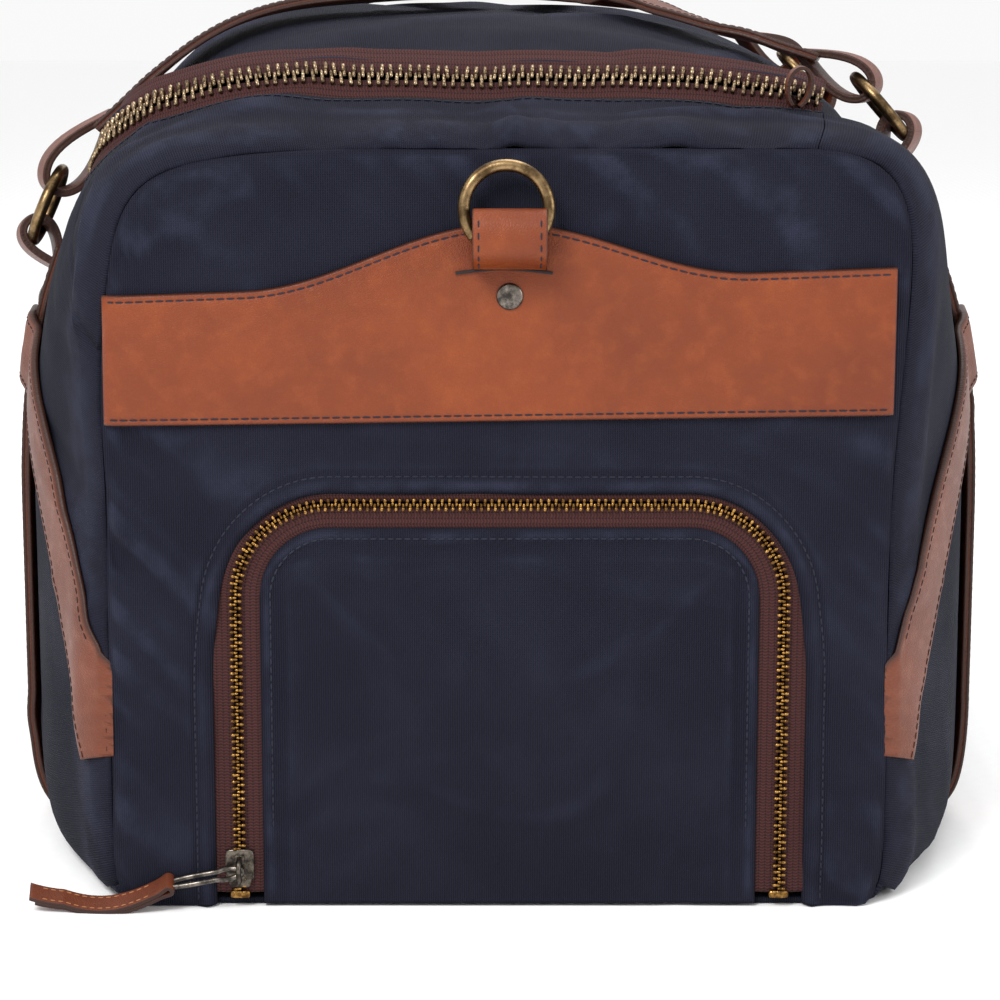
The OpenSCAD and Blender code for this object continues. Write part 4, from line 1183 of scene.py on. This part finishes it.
def brace_band(name, node, side, sign):
    """Leather band from the belly strap down to the end seam, stitched along both edges."""
    t = np.linspace(0, 1.03, 100)[:, None]

    def line(t):
        return mix(-belly_y + 4, -shell_y, t ** 0.45), mix(192.0, 60.0, t ** 1.05)

    def placed(k, off):
        p, q, o = line(t), line(t + 0.02), line(np.maximum(0, t - 0.02))
        dy, dz = q[0] - o[0], q[1] - o[1]
        n = np.hypot(dy, dz)
        y = np.clip(p[0] - dz / n * k * strap_w / 2, -1.2 - shell_y, -belly_y + strap_w / 2)
        z = p[1] + dy / n * k * strap_w / 2
        a = side * angle_at(y, z)
        lift = (strap_t + 0.6) * ease((y + belly_y + strap_w / 2 + 16) / 14) + 0.4
        relief = np.maximum(skin_relief(a * mm_per_deg, y), 0) * ease((-y - belly_y) / 30)
        sink = ease((y + shell_y + 1.2) / 2.2)
        thin = 0.55 + 0.45 * ease((y + shell_y) / 30)
        pts = skin(y, a, ((lift + off) * thin + relief) * sink - 2.2 * (1 - sink))
        return pts * [1, sign, 1]

    k = np.array([-1, -0.985, -0.95, -0.88, -0.8, -0.65, -0.5, -0.35, -0.2, 0, 0.2, 0.35, 0.5, 0.65, 0.8, 0.88, 0.95,
                  0.985, 1.0])[None, :]
    crown = 3.3 - 1.5 * np.abs(k) ** 30 - 0.3 * np.exp(-((np.abs(k) - 0.8) / 0.05) ** 2)
    front, back = placed(k, crown), placed(k, 0.3)
    uv = np.stack([np.broadcast_to(t * 190, front.shape[:2]), np.broadcast_to(k * strap_w / 2, front.shape[:2])], -1)
    piece = slab(name, front, back, strap_leather, uv=uv, flip=side * sign < 0)
    mark = np.broadcast_to(np.exp(-((1 - np.abs(k)) / 0.06) ** 2), front.shape[:2])
    piece.data.attributes.new("edge", "FLOAT", "POINT").data.foreach_set(
        "value", np.concatenate([mark.ravel(), np.ones(mark.size)]))
    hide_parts(node)
    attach(piece, "root")
    for row in (-0.8, 0.8):
        path = placed(np.array([[row]]), 3.15)[:, 0]
        up = unit(placed(np.array([[row]]), 6.0)[:, 0] - path)
        ok = path[:, 1] * sign > 5 - shell_y
        stitches(name + ("_stitch_a" if row < 0 else "_stitch_b"), path[ok], up[ok], "root", dark_thread)


for side, word in ((-1, "left"), (1, "right")):
    brace_band("near_brace_" + word, "brace_band_near_" + word, side, 1)
    brace_band("far_brace_" + word, "brace_band_far_" + word, side, -1)


def handle(name, node, side, body):
    """Strap handle from ring to ring: up the side, turning, then lengthwise over the lid."""
    foot = roll + side * ring_angle
    centre, _, up = eye_place(-belly_y, foot)
    eye2 = centre + up * 2 * ring_reach
    start_a = math.degrees(math.atan2(eye2[0], eye2[2] - core_z))
    rx, rz = raw(np.array([belly_y]), np.array([start_a]))
    start_off = math.hypot(eye2[0], eye2[2] - core_z) - math.hypot(rx[0], rz[0])
    f = np.radians(np.linspace(8, 172, 260))
    y, a = -belly_y * np.cos(f), mix(start_a, side * 5.0, np.sin(f))
    rest_on = np.maximum(skin_relief(a * mm_per_deg, y), 0)
    rise_at = mix(start_off, 5 + strap_t / 2 + rest_on, ease(np.sin(f) * 2.4))
    mid, normal, _ = place_on_skin(y, a, rise_at)
    ahead = unit(np.gradient(mid, axis=0))
    across = unit(np.cross(ahead, normal))
    strap(name, mid, across, normal, strap_w, strap_t, strap_leather, body, node)
    side_stitches(name + "_stitch", mid, across, normal, strap_w, strap_t, body, dark_thread)
    for m in (1, -1):
        flip = np.array([1, m, 1])
        c = eye2 * flip
        end = (mid[4] if m > 0 else mid[-5]) * 1.0
        lead = unit(end - c)
        flat = unit(across[4] if m > 0 else across[-5])
        flat = unit(np.array([0.35 * side * m, 1.0, 0]) * 0.75 + flat * 0.25 * np.sign(flat[1] + 1e-9))
        lead = unit(lead - flat * lead.dot(flat))
        loop_strap(name + ("_loop_near" if m > 0 else "_loop_far"), c, -lead, unit(np.cross(flat, lead)), flat,
                   5.8, np.linalg.norm(end - c) + 1.0, 18, 3.0, body, strap_leather)


handle("left_handle", "handle_strap_left", -1, "handle_left")
handle("right_handle", "handle_strap_right", 1, "handle_right")

# ---------------------------------------------------------------- rings and rivets


def split_ring(name, node, body, centre, ring_axis, up, gap_at):
    """Round wire ring, open by a hair where its ends meet."""
    side = np.cross(up, ring_axis)
    a = np.radians(gap_at) + np.linspace(0.018, 2 * np.pi - 0.018, 140)
    path = centre + 14.9 * (np.cos(a)[:, None] * side + np.sin(a)[:, None] * up)
    path = path + local_rng.normal(0, 0.01, path.shape)
    ring = tube(name, path, 2.2, ring_brass, sides=20)
    ends = path[[0, 0, -1, -1]] + np.array([[0], [1e-3], [-1e-3], [0]]) * side
    core = tube(name + "_joint", ends, 1.7, gunmetal, 12)
    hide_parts(node)
    for piece in (ring, core):
        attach(piece, body)


lean = math.radians(8)
for sign, word in ((1, "near"), (-1, "far")):
    eye = np.array([shoe_x - 1.2, -(half_l + 2.6 + eye_out) * sign, end_ring_z])
    up = np.array([0, math.sin(lean) * sign, math.cos(lean)])
    split_ring(word + "_ring", word + "_end_ring", "end_ring_" + word, eye + up * (ring_reach + 0.4),
               np.array([0, -1.0 * sign, 0]), up, 222 if sign > 0 else 318)
for side, word in ((-1, "left"), (1, "right")):
    for sign, end in ((1, "near"), (-1, "far")):
        centre, n, up = eye_place(-belly_y * sign, roll + side * ring_angle)
        split_ring(word + "_ring_" + end, "side_ring_" + word + "_" + end, "rings_" + word, centre + up * ring_reach,
                   np.cross(up, [0, 1.0, 0]), up, 200 + 70 * sign)


def rivet_shape():
    """Rivet cap: a shallow dome with a turned rim, standing on z = 0."""
    profile = np.array([(4.7, -0.6), (4.75, 0.1), (4.5, 0.75), (4.1, 1.0), (3.6, 1.05), (2.8, 1.35), (1.8, 1.6),
                        (0.9, 1.7), (0.02, 1.72)])
    a = np.arange(24) * 2 * np.pi / 24
    height = np.broadcast_to(profile[:, 1:], (9, 24))
    pts = np.stack([profile[:, :1] * np.cos(a), profile[:, :1] * np.sin(a), height], -1).reshape(-1, 3)
    i, j = np.arange(8)[:, None] * 24, np.arange(24)[None, :]
    faces = np.stack([i + j, i + (j + 1) % 24, i + 24 + (j + 1) % 24, i + 24 + j], -1).reshape(-1, 4)
    base = np.array([[0, 24 - k, 23 - k, 22 - k] for k in range(1, 22, 2)])
    cap = np.array([[192, 192 + k, 193 + k, 194 + k] for k in range(1, 22, 2)])
    return pts, np.concatenate([faces, base, cap])


def rivets(name, node, places, normals):
    """Rivet caps standing on the places, facing along the normals."""
    shape, faces = rivet_shape()
    z = unit(np.array(normals, float))
    x = unit(np.cross(z, [0.13, 0.7, 0.7]))
    piece = copies(name, shape, faces, np.array(places, float), x, np.cross(z, x), z, gunmetal)
    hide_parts(node)
    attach(piece, "root")


rivets("band_rivets", "chape_rivets", [(shoe_x, -half_l - 3.0, 223.4), (shoe_x, half_l + 3.0, 223.4)],
       [(0, -1, 0), (0, 1, 0)])
spots, ways = [], []
for y in (-belly_y, belly_y):
    for side in (-1, 1):
        spot, n, _ = place_on_skin(np.array([y]), np.array([roll + side * rivet_angle]), strap_t + 0.9)
        spots.append(spot[0])
        ways.append(n[0])
rivets("belly_rivets", "strap_rivets", spots, ways)

# ---------------------------------------------------------------- sliders and pulls


def placed_in(frame_at, x_dir, y_dir, z_dir):
    """Function that turns a fitting's own points into the bag's."""
    m = np.stack([x_dir, y_dir, z_dir])
    return lambda p: frame_at + np.asarray(p, float) @ m


def slider(name, node, body, put, depth):
    """Zip slider: waisted top and bottom plates with turned edges, a neck, and an arched bail for the pull."""
    block, faces = rounded_block(6.0, 10)
    top = block * [5.3, 7.2, 1.0]
    top[:, 0] *= 1 - 0.2 * ease((-top[:, 1] + 1.0) / 7)
    top[:, 2] += 1.2 + 0.25 * np.cos(top[:, 0] / 3)
    low = block * [5.3, 7.0, 0.8]
    low[:, 0] *= 1 - 0.2 * ease((-low[:, 1] + 1.0) / 7)
    low[:, 2] -= depth + 1.2
    wall_a = block * [0.55, 5.6, 1.0] + [4.6, 0.8, -0.4]
    wall_b = wall_a * [-1, 1, 1]
    lump = block * [1.9, 1.7, 0.9] + [0, 3.6, 2.4]
    tail = block * [1.9, 1.2, 0.7] + [0, -3.8, 2.3]
    neck = block * [0.8, 2.6, depth / 2 + 1.0] + [0, -4.0, -depth / 2]
    pieces = [top, low, wall_a, wall_b, lump, tail, neck]
    verts = np.concatenate(pieces)
    faces = np.concatenate([faces + i * len(block) for i in range(len(pieces))])
    body_piece = new_mesh(name, put(verts), faces, slider_brass)
    t = np.linspace(0, np.pi, 24)
    arch_pts = np.stack([0 * t, -0.1 + 4.3 * np.cos(t), 2.0 + 5.0 * np.sin(t) ** 0.7], -1)
    bail = tube(name + "_bail", put(arch_pts), 0.95, slider_brass, 10)
    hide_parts(node)
    for piece in (body_piece, bail):
        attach(piece, body)


def pull_wire(name, node, body, put, turn, twist=0.0):
    """Long wire loop of a pull, narrow where it hangs in the bail, rounded at the far end, rolled by twist."""
    n = 90
    a = np.linspace(0, 2 * np.pi, n, endpoint=False)
    x = 12.4 + 13.8 * np.sign(np.cos(a)) * np.abs(np.cos(a)) ** 0.55
    y = 2.5 * np.sign(np.sin(a)) * np.abs(np.sin(a)) ** 0.75 * (0.72 + 0.28 * ease((x + 2) / 14))
    roll_by = twist * ease(x / 9)
    y, z = y * np.cos(roll_by), 5.6 + 0.25 * np.cos(x / 6) + y * np.sin(roll_by)
    c, s_ = math.cos(turn), math.sin(turn)
    wire = tube(name, put(np.stack([x * c - y * s_, x * s_ + y * c, z], -1)), 0.95, gunmetal, 12, closed=True)
    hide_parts(node)
    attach(wire, body)


def pull_tab(name, node, body, put, turn, curl, twist=0.0):
    """Leather folded round the wire's far end, its two tails parting at their ends, rolled by twist."""
    bar = 26.2
    c, s_ = math.cos(turn), math.sin(turn)
    fold = 16
    a = np.linspace(np.pi / 2, 3 * np.pi / 2, fold)
    reach = np.linspace(1, 50, 52)
    split = 0.9 + 0.55 * ease((reach - 30) / 22)
    upper = np.stack([bar + reach, split + curl * ease((reach - 8) / 46) * 2.2], -1)
    lower = np.stack([bar + reach * 0.97, -split + curl * ease((reach - 8) / 46) * 1.6], -1)
    turn_part = np.stack([bar + 2.0 * np.cos(a) * 1.1 + 0.5, 1.9 * np.sin(a)], -1)
    line = np.concatenate([upper[::-1], turn_part, lower])
    for _ in range(6):
        line[1:-1] = (line[:-2] + 2 * line[1:-1] + line[2:]) / 4
    part = np.clip((line[:, 0] - bar) / 50, 0, 1)
    bow = curl * (4.2 * part ** 3 - 1.6 * np.sin(np.pi * np.minimum(part * 1.3, 1)))
    x, h = line[:, 0], line[:, 1]
    side_on, rise_on = bow - h * math.sin(twist), h * math.cos(twist)
    mid = put(np.stack([x * c - side_on * s_, x * s_ + side_on * c, 5.6 + rise_on], -1))
    wide = np.array([-s_ * math.cos(twist), c * math.cos(twist), math.sin(twist)])
    wide_dir = put(np.tile(wide, (len(x), 1)))
    wide_dir = wide_dir - put(np.zeros((len(x), 3)))
    ahead = np.gradient(mid, axis=0)
    normal = unit(np.cross(ahead, wide_dir))
    piece = strap(name, mid, wide_dir, normal, 8.2, 1.55, strap_leather, body, node, groove=0.1)
    for side in (-1, 1):
        row = mid[4:46] + unit(wide_dir[4:46]) * side * 2.8 + normal[4:46] * np.sign(
            (normal[20] * (mid[20] - mid[-20])).sum()) * 0.85
        up = normal[4:46] * np.sign((normal[20] * (mid[20] - mid[-20])).sum())
        stitches(name + ("_stitch_a" if side < 0 else "_stitch_b"), row, up, body, tan_thread, pitch=2.6, length=1.9,
                 width=0.5, height=0.4)
    return piece


main_n = np.array(out_dir(100.0, zip_s / mm_per_deg)).astype(float)
main_n = np.array([main_n[0], 0.0, main_n[1]])
main_put = placed_in(cloth(zip_s, 100.0) + main_n * 1.6, np.array([main_n[2], 0, -main_n[0]]),
                     np.array([0, 1.0, 0]), main_n)
slider("main_slider", "main_slider_body", "main_slider", main_put, 3.4)
pull_wire("main_wire", "main_pull_wire", "main_pull", main_put, math.pi / 2)
pull_tab("main_tab", "main_pull_leather", "main_tab", main_put, math.pi / 2, -0.8)
shoe_put = placed_in(np.array([shoe_x - shoe_w / 2, -half_l, 14.6]), np.array([1.0, 0, 0]), np.array([0, 0, 1.0]),
                     np.array([0, -1.0, 0]))
slider("shoe_slider", "shoe_slider_body", "shoe_slider", shoe_put, 3.0)
pull_wire("shoe_wire", "shoe_pull_wire", "shoe_pull", shoe_put, math.radians(191), 1.25)
pull_tab("shoe_tab", "shoe_pull_leather", "shoe_tab", shoe_put, math.radians(191), -2.4, 1.15)
block, block_faces = rounded_block(6.0, 4)
stops = [block * [3.6, 1.2, 1.4] + [shoe_x + side * shoe_w / 2, -half_l - 0.6, 4.6] for side in (-1, 1)]
stop_faces = np.concatenate([block_faces, block_faces + len(block)])
stop_piece = new_mesh("zip_stops", np.concatenate(stops), stop_faces, pocket_brass)
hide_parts("shoe_zip_stops")
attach(stop_piece, "root")


def end_tab(name, node, sign):
    """Thin leather loop sewn in at the right end of the main zip."""
    base = cloth(hinge_s - 9, -zip_y) * [1, sign, 1] + [0, -7 * sign, 0]
    t = np.linspace(-1, 1, 50)
    a = t * 2.75
    mid = np.stack([4.6 * np.sin(a) * (1 - 0.3 * np.abs(t) ** 2), 0 * t, 6.5 + 7.2 * np.cos(a)], -1)
    tilt = math.radians(10)
    c, s_ = math.cos(tilt), math.sin(tilt)
    mid = mid @ np.array([[c, 0, s_], [0, 1, 0], [-s_, 0, c]]).T + base
    wide = np.tile([0, 1.0, 0], (50, 1))
    normal = unit(np.cross(np.gradient(mid, axis=0), wide))
    strap(name, mid, wide, normal, 9, 1.3, strap_leather, "root", node, groove=0.05)


end_tab("near_zip_tab", "zip_end_tab_near", 1)
end_tab("far_zip_tab", "zip_end_tab_far", -1)

# ---------------------------------------------------------------- stitches on the canvas


def skin_stitches(name, o, line, body):
    """Stitches along the main zip, o outside its line, lying on the canvas."""
    lift = lid_puff(line[:, 0] + line[:, 2] * o, line[:, 1] + line[:, 3] * o) if o < 0 else 0.0
    path = zip_beside(o, 0.35 + lift, line)
    up = unit(zip_beside(o, 3.0 + lift, line) - path)
    stitches(name, path, up, body, navy_thread, pitch=3.6, length=2.9, width=0.8, height=0.6)


skin_stitches("gusset_stitches", 10.6, zip_line, "root")
skin_stitches("lid_stitches", -7.8, lid_line, "lid")
ring = arch_path(-12.4, 1.0)
on_door = np.stack([ring[:, 0], np.full(len(ring), -half_l), ring[:, 1]], -1)


def on_surface(points, grid):
    """Depth of the nearest grid point, for thread lying on a canvas."""
    flat = grid.reshape(-1, 3)
    d = (points[:, None, 0] - flat[None, :, 0]) ** 2 + (points[:, None, 2] - flat[None, :, 2]) ** 2
    near = np.argsort(d, axis=1)[:, :3]
    points[:, 1] = flat[near, 1].mean(1)
    return points


on_door = on_surface(on_door, door_front)
cut = on_door[:, 2] > door_fold + 4
seam_thread = dict(pitch=3.0, length=2.3, width=0.75, height=0.6)
stitches("door_stitches", on_door[cut] + [0, -0.2, 0], np.tile([0, -1.0, 0], (cut.sum(), 1)), "shoe_door",
         navy_thread, **seam_thread)

# ---------------------------------------------------------------- inside


def pocket_lining():
    """Lining of the shoe pocket: an arched tunnel with a closed back, slack between its seams."""
    line = arch_path(zip_lip + 5.6, 5.6)
    depth = np.linspace(0, 1, 60)[:, None]
    slack = 1.6 * np.sin(line[:, 1][None] / 19 + depth * 6) * np.sin(depth * np.pi)
    x = line[:, 0][None] * (1 - 0.004 * slack) + 0 * depth
    z = np.maximum(line[:, 1][None] - np.maximum(slack, 0) * (line[:, 1] > 60), 5.4)
    y = -shell_y + 1.2 + depth * (143.0) + 0 * x
    face = np.stack([x, y, z], -1)
    centre = np.array([shoe_x, 0, 80.0])
    out_way = unit((face - centre) * [1, 0, 1])
    tunnel = slab("pocket_lining", face, face + out_way * 1.2, lining_cloth, uv=np.stack([x + z, y], -1), flip=True)
    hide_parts("shoe_pouch")
    wide = np.linspace(-1, 1, 60)[None, :]
    top = line[:, 1].max()
    rows = np.linspace(5.4, top, 70)[:, None]
    half = shoe_w / 2 + zip_lip + 5.6
    r = shoe_r + zip_lip + 5.6
    reach = half - r + np.sqrt(np.maximum(0, r * r - np.maximum(0, rows - (top - r)) ** 2))
    x = shoe_x + wide * reach
    y = -shell_y + 142.5 + 2.5 * np.cos(wide * 1.5) * np.cos((rows - 80) / 60) - 2.0
    back = np.stack([x, y, rows + 0 * x], -1)
    closed = slab("pocket_back", back, back + [0, 1.2, 0], lining_cloth, uv=np.stack([x, rows + 0 * x], -1))
    floor_x = np.linspace(-half, half, 60)[None, :] + shoe_x
    floor_y = np.linspace(-shell_y + 1.2, -shell_y + 143, 60)[:, None]
    low = np.stack([floor_x + 0 * floor_y, floor_y + 0 * floor_x, 6.4 + 0.4 * np.sin(floor_x / 14) + 0 * floor_y], -1)
    bottom = slab("pocket_floor", low, low - [0, 0, 1.2], lining_cloth, uv=low[..., :2])
    for piece in (tunnel, closed, bottom):
        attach(piece, "root")


pocket_lining()
low, high = node_box("base_board")
block, block_faces = rounded_block(14.0, 12)
board = new_mesh("stiff_board", block * (high - low) / 2 + (high + low) / 2, block_faces, board_fibre)
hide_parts("base_board")
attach(board, "root")
ring = arch_path(0.0, 2.0)
grow = (arch_path(1.0, 2.0) - ring) * (arch_margin(ring[:, 1]) + 6.6)[:, None]
ring = ring + grow
on_panel = np.stack([ring[:, 0], panel_y(ring[:, 0], ring[:, 1], True) - 0.15, ring[:, 1]], -1)
stitches("panel_stitches", on_panel, np.tile([0, -1.0, 0], (len(ring), 1)), "root", navy_thread, **seam_thread)

# ---------------------------------------------------------------- floor, lights and camera


def stage_floor():
    """Plain pale floor, large enough to fill the view behind the bag."""
    r = 9000.0
    corners = [(-r, -r, -0.4), (r, -r, -0.4), (r, r, -0.4), (-r, r, -0.4)]
    floor = new_mesh("floor", corners, [(0, 1, 2, 3)], floor_paint)


stage_floor()
world = bpy.data.worlds.new("soft studio")
bpy.context.scene.world = world
world.use_nodes = True
world.node_tree.nodes["Background"].inputs[0].default_value = (1.0, 1.0, 1.0, 1.0)
world.node_tree.nodes["Background"].inputs[1].default_value = 0.95


def area_light(name, at, toward, size, power, tint=(1, 1, 1)):
    """Soft square lamp at a place in millimetres, facing another."""
    data = bpy.data.lights.new(name, "AREA")
    data.shape, data.size, data.energy, data.color = "SQUARE", size, power, tint
    lamp = bpy.data.objects.new(name, data)
    bpy.context.scene.collection.objects.link(lamp)
    lamp.location = Vector(at) * MM
    lamp.rotation_euler = (Vector(toward) - Vector(at)).to_track_quat("-Z", "Y").to_euler()


bpy.context.scene.view_settings.view_transform = "Standard"
area_light("key", (-700, -1500, 1500), (0, -100, 150), 0.7, 32)
area_light("side", (1500, -700, 700), (0, -100, 150), 0.9, 9)
area_light("top", (200, 500, 1800), (0, 0, 150), 1.2, 16)

eye = bpy.data.cameras.new("camera")
eye.lens, eye.sensor_width, eye.dof.use_dof = 103.1, 36.0, False
eye.clip_start, eye.clip_end = 0.05, 60.0
camera = bpy.data.objects.new("camera", eye)
bpy.context.scene.collection.objects.link(camera)
camera.location = (0.00057, -1.27, 0.3376)
camera.rotation_euler = (math.pi / 2 - 0.185, 0, 0)
bpy.context.scene.camera = camera
